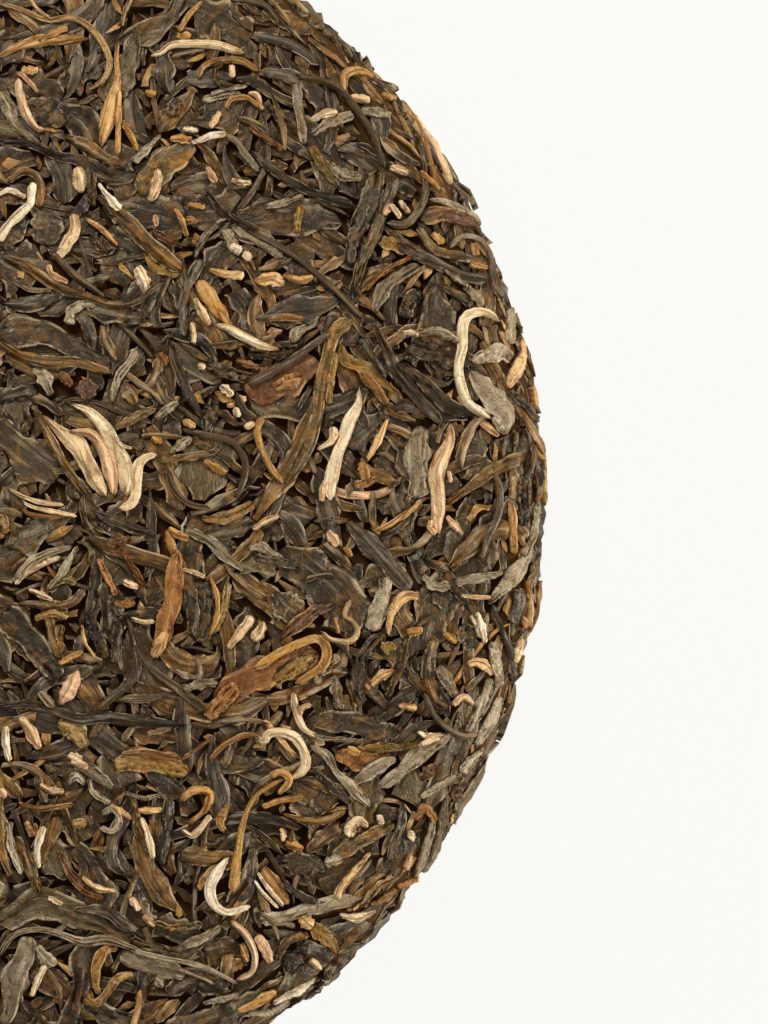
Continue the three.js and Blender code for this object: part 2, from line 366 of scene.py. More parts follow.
VIEW_STATIONS, VIEW_POINTS = 23, 9  # the leaves that are told apart in view have a finer mesh
VIEW_SEED = 500  # added to a kind's own seed for them
VIEW_PROUD = 0.15  # they stand this much higher too
TONE_DRIFT, VIEW_TONE_DRIFT = 0.6, 0.25  # how far the tone wanders along a leaf
BACK_FROM = 6  # leaves further past the rim than this are looked up on the map of the back


def grow(kind, in_view):
    """Makes a kind's leaves, each lying along its path but not yet pressed into the mat."""
    kind = dict(kind)
    rng = np.random.default_rng(kind["seed"] + (VIEW_SEED if in_view else 0))
    profile = None
    if in_view:
        kind["stations"], kind["points"] = VIEW_STATIONS, VIEW_POINTS
        path, length, profile = traced(kind)
        width = profile.max(axis=1)
    else:
        path, length, width = scattered(rng, kind)
    stations, points = kind["stations"], kind["points"]
    count = len(length)
    t = np.linspace(0, 1, stations)
    u = np.sin(np.linspace(-0.5, 0.5, points) * math.pi)
    half, lift, torn = leaf_form(rng, kind, width, length, t, u, profile)
    place, out, ahead = path
    across = np.cross(out, ahead)
    points_at = place[:, :, None] + across[:, :, None] * (half * u)[..., None]
    points_at = points_at + ahead[:, :, None] * torn[..., None]
    kind["reach"], kind["angle"] = nearest(points_at)
    kind["lift"] = lift
    kind["stride"] = length / (stations - 1)
    kind["want"] = -rng.uniform(0, 1, count) ** 2 * kind["sunk"] - lift.max(axis=(1, 2)) + kind["proud"]
    middle = kind["reach"].mean(axis=(1, 2))
    kind["want"] = kind["want"] + kind["raised"] * (1 - ease(np.abs(middle - RIM_REACH), 3, 10))
    kind["order"] = rng.uniform(*kind["layer"], count)
    place, _ = surface(middle, kind["angle"][:, stations // 2, points // 2])
    # where the photo shows the leaves of a kind one by one, few are scattered between the traced ones
    seen = (middle < RIM_REACH) & (place[:, 0] > PHOTO_LEFT)
    seen = seen & (rng.uniform(0, 1, count) < kind["told_apart"])
    kind["kept"] = ~seen | in_view
    if in_view:
        # the narrower lie on the broader, and all of them on the scattered ones
        kind["order"] = -1 + np.minimum(0.9, width / 6 + rng.uniform(-0.1, 0.1, count))
        kind["want"] = kind["proud"] + VIEW_PROUD - lift.max(axis=(1, 2))
    kind["half_mm"] = half
    kind["tone"] = rng.uniform(0, 1, (count, 2))
    kind["drift"] = TONE_DRIFT
    if in_view:
        kind["tone"][:, 0] = [tone for _, tone, *_ in kind["in_view"].values()]
        kind["drift"] = VIEW_TONE_DRIFT
    kind["grow"] = (math.ceil(kind["stride"].max() / CELL), math.ceil(width.max() / points / CELL))
    kind["cells"] = [map_cells(kind["reach"], kind["angle"], side, *kind["grow"]) for side in (0, 1)]
    kind["side"] = (middle > RIM_REACH + BACK_FROM).astype(int)
    kind["low_lift"] = rng.uniform(0.6, 2.2, count)
    kind["top"] = np.zeros_like(lift)
    kind["shown"] = np.zeros(count)
    return kind


SLOPE = 0.5  # how steeply a leaf climbs from under the one that covers it
CLEAR = 0.1  # from a leaf's top down to the next one's
GAP_DEPTH = -1.15  # where a leaf shows in a gap between others, it stands at least this high
LEAST_SHOWN = 0.09  # a leaf that shows less than this much is left out, save the lowest ones


def settle(kind, leaf):
    """Presses one leaf under those laid over it, and marks what it covers in its turn."""
    grow_t, grow_u = kind["grow"]
    stations, points = kind["stations"], kind["points"]
    over = covered[kind["side"][leaf]]
    x, y = kind["cells"][kind["side"][leaf]]
    ceiling = over[x[leaf], y[leaf]].reshape(stations, grow_t, points, grow_u).min(axis=(1, 3))
    lift = kind["lift"][leaf]
    shown = (ceiling >= OPEN_SKY).mean()
    if shown < kind.get("least", LEAST_SHOWN) or not kind["kept"][leaf]:
        return
    level = np.minimum(kind["want"][leaf], (ceiling - CLEAR - lift).min(axis=1))
    gaps = np.abs(np.subtract.outer(np.arange(stations), np.arange(stations))) * kind["stride"][leaf]
    level = (level + SLOPE * gaps).min(axis=1)
    lowest = GAP_DEPTH + 0.5 * lift * kind["low_lift"][leaf]
    top = np.minimum(np.maximum(level[:, None] + lift, lowest), ceiling - CLEAR)
    kind["top"][leaf] = top
    kind["shown"][leaf] = shown
    fine = finer(stations, grow_t) @ (top - CLEAR) @ finer(points, grow_u).T
    for side in (0, 1):
        x, y = kind["cells"][side]
        covered[side][x[leaf], y[leaf]] = np.minimum(covered[side][x[leaf], y[leaf]], fine)


ROOT = 1.0  # a leaf's edges go down this far into the mat
FOLD = math.radians(52)  # a sharper bend than this is a fold
PATTERN_SPAN = 97  # a leaf's fibres start anywhere in this many millimetres of the pattern
BAKE_MARGINS = (0.04, 0.02)  # beside and before each leaf in a place of its own, as shares of the place


def corner_rows(rows, sides):
    """The four corners of each face between the rows of points, as steps along and round a leaf."""
    i, j = np.meshgrid(np.arange(rows - 1), np.arange(sides), indexing="ij")
    return np.stack((i, i + 1, i + 1, i), -1), np.stack((j, j, j + 1, j + 1), -1)


def joined_mesh(kind):
    """One mesh of all the kind's leaves that show, with their fibres' run and tones."""
    leaves = np.flatnonzero(kind["shown"])
    count, rows, sides = len(leaves), kind["stations"], kind["points"] + 2
    reach, angle, top = (kind[name][leaves] for name in ("reach", "angle", "top"))
    place, out = surface(reach, angle)
    upper = place + top[..., None] * out
    edges = [place[:, :, k] + (top[:, :, k] - ROOT)[..., None] * out[:, :, k] for k in (-2, 1)]
    points = np.concatenate((upper, np.stack(edges, 2)), 2)
    points[..., 2] = np.maximum(points[..., 2], 0)
    i, j = corner_rows(rows, sides)
    first = (np.arange(count) * rows * sides)[:, None, None, None]
    walls = (first + i * sides + j % sides).reshape(-1, 4)
    ring, start = np.arange(sides), first.reshape(-1, 1)
    ends = np.concatenate((start + ring, start + (rows - 1) * sides + ring[::-1]))
    mesh = bpy.data.meshes.new(kind["name"])
    mesh.vertices.add(count * rows * sides)
    mesh.vertices.foreach_set("co", (points * MM).ravel())
    loops = np.concatenate((walls.ravel(), ends.ravel()))
    mesh.loops.add(len(loops))
    mesh.loops.foreach_set("vertex_index", loops)
    sizes = np.concatenate((np.full(len(walls), 4), np.full(len(ends), sides)))
    mesh.polygons.add(len(sizes))
    mesh.polygons.foreach_set("loop_start", np.concatenate(([0], np.cumsum(sizes)[:-1])))
    mesh.update(calc_edges=True)
    # where each corner lies along and across its leaf, in millimetres, starting anywhere in the pattern
    along = kind["stride"][leaves][:, None, None, None] * i
    half = np.concatenate((kind["half_mm"][leaves], kind["half_mm"][leaves][:, :, [-2, 1]]), 2)
    u = np.concatenate((np.sin(np.linspace(-0.5, 0.5, sides - 2) * math.pi), (1.2, -1.2)))
    across = (half * u)[:, i, j % sides]
    shift = kind["tone"][leaves] * PATTERN_SPAN
    fibres = np.stack((across + shift[:, 0, None, None, None], along + shift[:, 1, None, None, None]), -1)
    write_uv(mesh, "fibres", fibres, ends)
    # a place of its own for each leaf, for when the colours are baked to an image
    columns = math.ceil(math.sqrt(count * 3))
    lines = math.ceil(count / columns)
    line, column = (number[:, None, None, None] for number in np.divmod(np.arange(count), columns))
    beside, before = BAKE_MARGINS
    own_x = (column + beside + (1 - 2 * beside) * j / sides) / columns
    own_y = (line + before + (1 - 2 * before) * i / (rows - 1)) / lines
    own = np.stack((own_x, own_y), -1)
    write_uv(mesh, "OFBake", own, ends)
    # the marks for the material: the tone, how near the top of a ridge (for the painted highlight and
    # furrow shade), how high in the mat (for the painted shade low in it), and which side
    crest = kind["lift"][leaves] / kind["lift"][leaves].max(axis=(1, 2), keepdims=True)
    crest = np.concatenate((crest, np.zeros_like(crest[:, :, :2])), 2)
    high = 1 + np.concatenate((top, top[:, :, [-2, 1]] - ROOT), 2) / MAT_DEPTH
    tone, drift = (kind["tone"][leaves][:, k, None, None] for k in (0, 1))
    drift = kind["drift"] * (drift - 0.5) * np.linspace(-1, 1, rows)[:, None]
    tone = (tone + drift) * np.ones_like(crest)
    side = np.clip(0.5 + 0.5 * u, 0, 1) * np.ones_like(crest)
    marks = np.clip(np.stack((tone, crest, high, side), -1), 0, 1)
    mesh.attributes.new("marks", "FLOAT_COLOR", "POINT").data.foreach_set("color", marks.ravel())
    piece = bpy.data.objects.new(kind["name"], mesh)
    bpy.context.collection.objects.link(piece)
    select_only(piece)
    bpy.ops.object.shade_smooth_by_angle(angle=FOLD)
    return piece


def write_uv(mesh, name, walls, ends):
    """Writes the places of the corners of the leaves' sides, and none for those of their ends."""
    corners = np.concatenate((walls.reshape(-1, 2), np.zeros((ends.size, 2))))
    mesh.uv_layers.new(name=name).uv.foreach_set("vector", corners.ravel())


def node(tree, form, *sources, **settings):
    """Adds a node with its inputs set, or linked to other nodes' outputs, in order."""
    made = tree.nodes.new(form)
    for name, value in settings.items():
        setattr(made, name, value)
    for socket, source in zip(made.inputs, sources):
        if isinstance(source, bpy.types.NodeSocket):
            tree.links.new(source, socket)
        elif source is not None:
            socket.default_value = source
    return made


def maths(tree, operation, *sources):
    """The outcome of one sum on values or other nodes' outputs."""
    return node(tree, "ShaderNodeMath", *sources, operation=operation).outputs[0]


def risen(tree, value, low, high, least=0.0, most=1.0):
    """A value eased from its least to its most as another rises from low to high."""
    made = node(tree, "ShaderNodeMapRange", value, low, high, least, most, interpolation_type="SMOOTHSTEP")
    return made.outputs[0]


def blended(tree, share, under, over, way="MIX"):
    """One colour laid over another by a share."""
    made = tree.nodes.new("ShaderNodeMix")
    made.data_type, made.blend_type = "RGBA", way
    for socket, source in zip((made.inputs[0], made.inputs[6], made.inputs[7]), (share, under, over)):
        if isinstance(source, bpy.types.NodeSocket):
            tree.links.new(source, socket)
        else:
            socket.default_value = source
    return made.outputs[2]


def speckle(tree, vector, scale, detail=2.0, rough=0.5, warped=0.0):
    """A cloudy pattern between 0 and 1."""
    made = node(tree, "ShaderNodeTexNoise", vector, noise_dimensions="3D")
    made.inputs["Scale"].default_value = scale
    made.inputs["Detail"].default_value = detail
    made.inputs["Roughness"].default_value = rough
    made.inputs["Distortion"].default_value = warped
    return made.outputs["Fac"]


# how fast the three patterns change for each millimetre across a leaf and along it
THREADS, RIDGES, CRIMPS = (3.6, 0.3, 1), (0.6, 0.06, 1), (0.42, 0.24, 1)
BLOTCHES, GRIT = 330, 2400  # for each metre
DEEP_SHADE = 0.5  # what is left of a leaf's light at the bottom of a gap
WARM_FALL = (0.6, 1.1, 1.8)  # how fast red, green and blue go there


def on_leaf(tree, run, size, *pattern):
    """A pattern that follows a leaf's fibres."""
    return speckle(tree, node(tree, "ShaderNodeMapping", run, None, None, size).outputs[0], 1.0, *pattern)


def dry_leaf_group():
    """Fibres, ridges paler from wear and a painted highlight, furrows darkened with painted shade, thin
    edges, stains and dust on a leaf, and painted shade low in the mat, from its marks and its fibres' run.
    """
    group = bpy.data.node_groups.new("dry_leaf", "ShaderNodeTree")
    socket = group.interface.new_socket
    for name, value in (("Body", 0.1), ("Furrow", 0.02), ("Ridge", 0.4), ("Stain", 0.2)):
        socket(name, in_out="INPUT", socket_type="NodeSocketColor").default_value = (value, value, value, 1)
    for name, value in (("Ridge share", 0.5), ("Edge share", 0.5), ("Stain share", 0.3), ("Crumple", 0.3)):
        socket(name, in_out="INPUT", socket_type="NodeSocketFloat").default_value = value
    socket("Colour", in_out="OUTPUT", socket_type="NodeSocketColor")
    socket("Roughness", in_out="OUTPUT", socket_type="NodeSocketFloat")
    socket("Height", in_out="OUTPUT", socket_type="NodeSocketFloat")
    given = group.nodes.new("NodeGroupInput").outputs
    marks = node(group, "ShaderNodeAttribute", attribute_name="marks")
    split = node(group, "ShaderNodeSeparateColor", marks.outputs["Color"]).outputs
    crest, high, side = split[1], split[2], marks.outputs["Alpha"]
    run = node(group, "ShaderNodeUVMap", uv_map="fibres").outputs[0]
    here = node(group, "ShaderNodeTexCoord").outputs["Object"]
    thread = on_leaf(group, run, THREADS, 2.0)
    ridge = on_leaf(group, run, RIDGES, 2.0, 0.5, 0.6)
    crimp = on_leaf(group, run, CRIMPS, 3.0, 0.55, 1.6)
    crease = maths(group, "ABSOLUTE", maths(group, "SUBTRACT", ridge, 0.5))
    crinkle = maths(group, "ABSOLUTE", maths(group, "SUBTRACT", crimp, 0.5))
    blotch, grit = speckle(group, here, BLOTCHES, 3.0, 0.6, 0.8), speckle(group, here, GRIT, 2.0, 0.6)
    stained = maths(group, "MULTIPLY", risen(group, blotch, 0.48, 0.6), given["Stain share"])
    body = blended(group, stained, given["Body"], given["Stain"])
    # painted shade: a leaf's creases and furrows, away from its ridge tops, are darkened toward the Furrow
    # colour
    lengthwise = maths(group, "MAXIMUM", risen(group, crease, 0.0, 0.05, 0.15, 1.0), given["Crumple"])
    shaded_furrow = maths(group, "MINIMUM", lengthwise, risen(group, crinkle, 0.0, 0.035, 0.35, 1.0))
    shaded_furrow = maths(group, "MULTIPLY", shaded_furrow, risen(group, crest, 0.0, 0.6, 0.1, 1.0))
    body = blended(group, shaded_furrow, given["Furrow"], body)
    # partly wear and partly painted highlight: the tops of ridges and creases are made paler toward the Ridge
    # colour
    wear_and_highlight = maths(group, "ADD", maths(group, "MULTIPLY", crest, 0.35), maths(group, "MULTIPLY", crease, 2.4))
    wear_and_highlight = maths(group, "ADD", wear_and_highlight, maths(group, "MULTIPLY", thread, 0.5))
    wear_and_highlight = maths(group, "MULTIPLY", risen(group, wear_and_highlight, 0.68, 1.15), given["Ridge share"])
    body = blended(group, wear_and_highlight, body, given["Ridge"])
    edge = maths(group, "ABSOLUTE", maths(group, "SUBTRACT", maths(group, "MULTIPLY", side, 2.0), 1.0))
    edge = maths(group, "MULTIPLY", risen(group, edge, 0.7, 0.92), risen(group, crimp, 0.46, 0.56))
    body = blended(group, maths(group, "MULTIPLY", edge, given["Edge share"]), body, given["Ridge"])
    dust = maths(group, "MULTIPLY", risen(group, grit, 0.66, 0.74), 0.3)
    body = blended(group, dust, body, given["Ridge"])
    # painted shade: the lower a leaf lies in the mat, the darker and warmer it is made, as the shade between
    # the leaves over it
    depth = risen(group, high, 0.05, 0.8, DEEP_SHADE, 1.0)
    warm = [maths(group, "POWER", depth, fall) for fall in WARM_FALL]
    shade = node(group, "ShaderNodeCombineColor", *warm).outputs[0]
    body = blended(group, 1.0, body, shade, "MULTIPLY")
    rough = risen(group, thread, 0.25, 0.75, 0.34, 0.56)
    folds = node(group, "ShaderNodeMix", given["Crumple"], None, crease, crinkle).outputs[0]
    height = maths(group, "ADD", maths(group, "MULTIPLY", thread, 0.25), maths(group, "MULTIPLY", folds, 5.0))
    node(group, "NodeGroupOutput", body, rough, height)
    return group


DRY_LEAF = dry_leaf_group()


def linear(*colour):
    """A colour as a screen shows it, 0 to 255, as the light that it stands for."""
    return tuple(((c / 255 + 0.055) / 1.055) ** 2.4 if c > 10 else c / 255 / 12.92 for c in colour) + (1,)


SHEEN = (1, 0.84, 0.62, 1)  # the gloss of a worn ridge is warm
FIBRE_RELIEF = 0.22 * MM


def leaf_material(kind):
    """Dry leaf in a kind's tones, with its own share of ridges paler from wear and painted highlight, pale
    edges and stains, and its painted shade in the furrows.
    """
    material = bpy.data.materials.new(kind["name"])
    material.use_nodes = True
    tree = material.node_tree
    shader = tree.nodes["Principled BSDF"]
    marks = node(tree, "ShaderNodeAttribute", attribute_name="marks")
    tone = node(tree, "ShaderNodeSeparateColor", marks.outputs["Color"]).outputs[0]
    ramp = node(tree, "ShaderNodeValToRGB", tone)
    stops = kind["tones"]
    while len(ramp.color_ramp.elements) < len(stops):
        ramp.color_ramp.elements.new(0.5)
    for k, colour in enumerate(stops):
        ramp.color_ramp.elements[k].position = k / (len(stops) - 1)
        ramp.color_ramp.elements[k].color = linear(*colour)
    look = node(tree, "ShaderNodeGroup", node_tree=DRY_LEAF)
    tree.links.new(ramp.outputs[0], look.inputs["Body"])
    for name in ("furrow", "ridge", "stain"):
        look.inputs[name.capitalize()].default_value = linear(*kind[name + "_tone"])
    for name, share in zip(("Ridge share", "Edge share", "Stain share"), kind["shares"]):
        look.inputs[name].default_value = share
    look.inputs["Crumple"].default_value = kind["crimped"]
    tree.links.new(look.outputs["Colour"], shader.inputs["Base Color"])
    tree.links.new(look.outputs["Roughness"], shader.inputs["Roughness"])
    shader.inputs["Specular IOR Level"].default_value = kind["gloss"]
    shader.inputs["Specular Tint"].default_value = SHEEN
    bump = node(tree, "ShaderNodeBump")
    bump.inputs["Strength"].default_value = 0.75
    bump.inputs["Distance"].default_value = FIBRE_RELIEF
    tree.links.new(look.outputs["Height"], bump.inputs["Height"])
    tree.links.new(bump.outputs[0], shader.inputs["Normal"])
    return material


MAT = []  # the kinds of leaf that lie in the mat

# A leaf is rolled up or flat. Its ends draw in over a share of its length (drawn_in) to a share of its
# width (tip), its edges wobble, and it bends and is hooked at its ends. It has ridges with furrows
# between them that twist round it, an edge of a share of its height, and a crumple, curl and rib. It is
# sunk in the mat or stands proud of it, is raised more at the rim, and lies in a layer from the top, 0,
# to the bottom, 1. crimped is how much cross folds break its fibres. told_apart is the share of its
# scattered leaves left out where the photo shows the real ones. tones run from dark to pale, and shares
# are those of the ridges' wear and painted highlight, pale edges and stains. furrow_tone is the painted
# shade in a leaf's furrows and creases, and ridge_tone the colour of its worn and highlit ridges, its
# pale edges and its dust.
ROLLED = dict(
    drawn_in=(0.08, 0.5), tip=(0.08, 0.75), wobble=0.24, bend=0.5, hooked=1.5, ridges=(0.4, 1.8),
    twist=(-1.6, 1.6), furrow=0.4, edge=0.08, crumple=0.35, curl=(0, 0.2), rib=0.0, sunk=0.7, proud=0.15,
    layer=(-0.04, 1.0), gloss=0.5, crimped=0.25, raised=0.7, told_apart=0)
FLAT = dict(
    drawn_in=(0.1, 0.5), tip=(0.15, 0.8), wobble=0.36, bend=0.4, hooked=0.9, ridges=(1.0, 3.5),
    twist=(-1.2, 1.2), furrow=0.45, edge=0.4, crumple=1.3, curl=(0, 0.7), rib=0.05, sunk=0.7, proud=0.0,
    layer=(0.0, 1.0), gloss=0.45, crimped=0.8, raised=0.7, told_apart=0)

# Charcoal strips
# Leaves that were rolled tight and dried almost black, so they show as long furrowed strips. They make
# up most of the cake, and the press locked them together crosswise.
CHARCOAL = ROLLED | dict(
    name="charcoal_strips", slot="dark_leaf", seed=3, count=1900, length=(7, 25), width=(1.6, 4.2),
    thick=(0.75, 1.3), stations=14, points=5, crumple=0.6,
    tones=[(35, 27, 18), (42, 36, 31), (53, 43, 31), (59, 52, 46), (80, 72, 60)],
    furrow_tone=(24, 13, 5), ridge_tone=(170, 150, 123), stain_tone=(110, 74, 32), shares=(0.42, 0.7, 0.4),
    in_view={
        "dark leaf from the left edge": ((10, 8, 9, 14, 20, 10), 0.3, (0, 143), (34, 145), (60, 158),
            (79, 161), (105, 174), (124, 179), (137, 173)),
        "blue-grey strip": ((6, 11, 11, 6), 0.6, (170, 339), (179, 366), (189, 392), (203, 418)),
        "black strip": ((12, 10, 9, 10), 0, (203, 260), (189, 287), (184, 316), (187, 337)),
        "broad dark strip": ((6, 10, 16, 16, 14, 6), 0.6, (376, 326), (384, 345), (397, 371),
            (413, 392), (429, 408), (442, 424)),
        "dark strip beside it": ((8, 14, 16, 7), 0.3, (400, 363), (429, 387), (447, 405), (474, 416)),
        "short dark strip": ((8, 10, 6), 0.2, (361, 339), (376, 363), (387, 379)),
        "dark blade with pale edges": ((8, 22, 22, 12), 1, (347, 522), (366, 540), (388, 562),
            (411, 590)),
        "dark edge low on the left": ((8, 9, 12, 14, 12, 4), 0.1, (0, 705), (39, 703), (79, 718),
            (105, 716), (147, 721), (189, 724)),
        "grey strip low on the left": ((6, 12, 10, 6), 0.9, (97, 512), (118, 521), (137, 529),
            (158, 533)),
        "grey neck of the twist": ((10, 12, 8), 0.7, (93, 196), (85, 207), (77, 217)),
        "thin black upright": ((4, 4, 4), 0, (90, 168), (91, 184), (91, 204)),
        "dark strip over the flat leaf": ((6, 9, 9, 10, 8), 0.4, (250, 152), (276, 173), (303, 189),
            (329, 199), (355, 207)),
        "dark strip toward the rim": ((8, 12, 12, 10, 11), 0.6, (397, 244), (421, 257), (445, 268),
            (468, 276), (487, 280)),
        "dark rim strip": ((6, 10, 10, 6), 0.5, (511, 392), (526, 403), (542, 421)),
        "upright by the pale leaf": ((12, 14, 10), 0.5, (192, 587), (195, 616), (195, 637)),
        "left upright": ((10, 13, 9), 0.4, (89, 613), (100, 637), (108, 658)),
        "right upright": ((9, 10, 8), 0.3, (121, 621), (118, 647), (116, 663)),
        "rim plate": ((12, 14, 12), 0.8, (519, 589), (519, 608), (514, 624)),
        "long dark stick": ((6, 7, 9, 9), 0.9, (493, 605), (503, 629), (514, 655), (516, 682)),
        "strip beside the silver twist": ((6, 9, 8), 0.8, (314, 768), (329, 782), (351, 803)),
        "arc inside the cream crescent": ((7, 9, 9, 6), 0.6, (253, 847), (255, 871), (250, 892),
            (239, 899)),
        "plate under the amber hook": ((9, 13, 12, 6), 0.8, (171, 797), (168, 826), (163, 865)),
        "strip over the round leaf": ((10, 16, 14, 8), 0.6, (297, 947), (313, 949), (332, 960)),
        "fold's dark inside": ((6, 12, 12, 5), 0.2, (76, 909), (105, 909), (126, 923), (147, 939)),
        "small dark strip by the grey blade": ((6, 8, 7), 0.3, (284, 881), (300, 894), (318, 902)),
        "crossing strip": ((5, 7, 7), 0.3, (195, 259), (203, 242), (218, 224)),
        "strip at the crop of buds": ((5, 7, 7, 5), 0, (208, 192), (224, 213), (259, 231)),
    })
MAT.append(CHARCOAL)

# Brown strips
# Rolled leaves of the same make that aged to a warm brown. They lie between the charcoal ones, with
# paler ridges where they were rubbed.
BROWN = ROLLED | dict(
    name="brown_strips", slot="brown_leaf", seed=4, count=1000, length=(7, 23), width=(1.5, 4.0),
    thick=(0.75, 1.3), stations=14, points=5, crumple=0.6,
    tones=[(72, 45, 25), (80, 58, 36), (98, 68, 36), (122, 90, 50)],
    furrow_tone=(38, 21, 7), ridge_tone=(200, 174, 130), stain_tone=(150, 102, 38), shares=(0.48, 0.65, 0.55),
    in_view={
        "brown leaf under the wedge": ((5, 14, 16, 18, 12), 0.6, (98, 195), (112, 207), (131, 225),
            (150, 245), (170, 262), (183, 271)),
        "twisted long strip": ((6, 9, 11, 10, 9, 8, 8, 7, 5), 0.45, (5, 258), (26, 266), (53, 284),
            (68, 292), (89, 297), (113, 305), (137, 303), (155, 289), (167, 282)),
        "brown strip before the fan": ((4, 9, 10, 9, 5), 1, (39, 413), (50, 434), (63, 458), (76, 479),
            (89, 495)),
        "buff edge under the big soft leaf": ((4, 8, 12, 12, 10, 6), 0.8, (0, 342), (26, 358),
            (53, 363), (79, 363), (113, 374)),
        "striated leaf over the dark one": ((5, 12, 12, 6), 0.5, (66, 137), (89, 147), (105, 158),
            (126, 168)),
        "brown upright": ((4, 5, 4), 1, (96, 174), (96, 190), (96, 207)),
        "curved band": ((6, 8, 9, 8), 0.8, (10, 184), (24, 173), (37, 176), (43, 190), (42, 208)),
        "short strip at the top": ((5, 5, 4), 0.9, (132, 0), (126, 13), (122, 28)),
        "brown seed": ((8, 17, 8), 0.9, (125, 384), (131, 394), (138, 404)),
        "buff strip beside the fan": ((5, 10, 10, 5), 1, (116, 429), (137, 418), (158, 408)),
        "olive strip by the orange": ((5, 8, 7, 4), 0.8, (161, 461), (184, 458), (211, 453),
            (221, 447)),
        "brown strip toward the rim": ((8, 10, 9, 10), 0.2, (418, 228), (434, 249), (461, 257),
            (487, 261)),
        "buff stub at the left": ((7, 10, 8), 1, (5, 513), (7, 523), (9, 534)),
        "ochre and dark strip": ((6, 9, 9), 0.6, (21, 603), (68, 604), (87, 589)),
        "brown strip under the pink plate": ((5, 8, 7, 5), 0.3, (408, 639), (403, 663), (393, 684),
            (387, 697)),
        "broad brown arc": ((10, 14, 14, 10), 0.3, (435, 639), (429, 666), (435, 697), (448, 708)),
        "strip at the left foot": ((8, 13, 12, 6), 0.5, (18, 836), (29, 860), (42, 892)),
        "stalk with a pale edge": ((4, 6, 9, 9, 8), 0.9, (116, 799), (129, 792), (137, 807), (139, 828),
            (153, 852)),
        "brown curl": ((5, 8, 9, 9, 6), 1, (134, 973), (118, 978), (108, 992), (97, 1002), (84, 999)),
        "arc round the dark disc": ((6, 9, 8), 0.4, (279, 960), (287, 942), (305, 934)),
        "olive strip near the foot": ((5, 8, 6), 0.9, (363, 907), (379, 886), (395, 878)),
    })
MAT.append(BROWN)

# Fine strips
# Slivers of rolled leaf that broke off as it was steamed and pressed. They fill in between the larger
# strips, in all the browns.
FINE = ROLLED | dict(
    name="fine_strips", slot="brown_leaf", seed=6, count=3400, length=(4, 12), width=(0.8, 1.9), raised=0.6,
    thick=(0.6, 1.0), stations=7, points=4,
    tones=[(38, 29, 20), (47, 37, 25), (61, 46, 29), (82, 61, 35), (122, 94, 58)],
    furrow_tone=(32, 18, 6), ridge_tone=(204, 178, 136), stain_tone=(144, 98, 38), shares=(0.5, 0.5, 0.5),
    in_view={})
MAT.append(FINE)

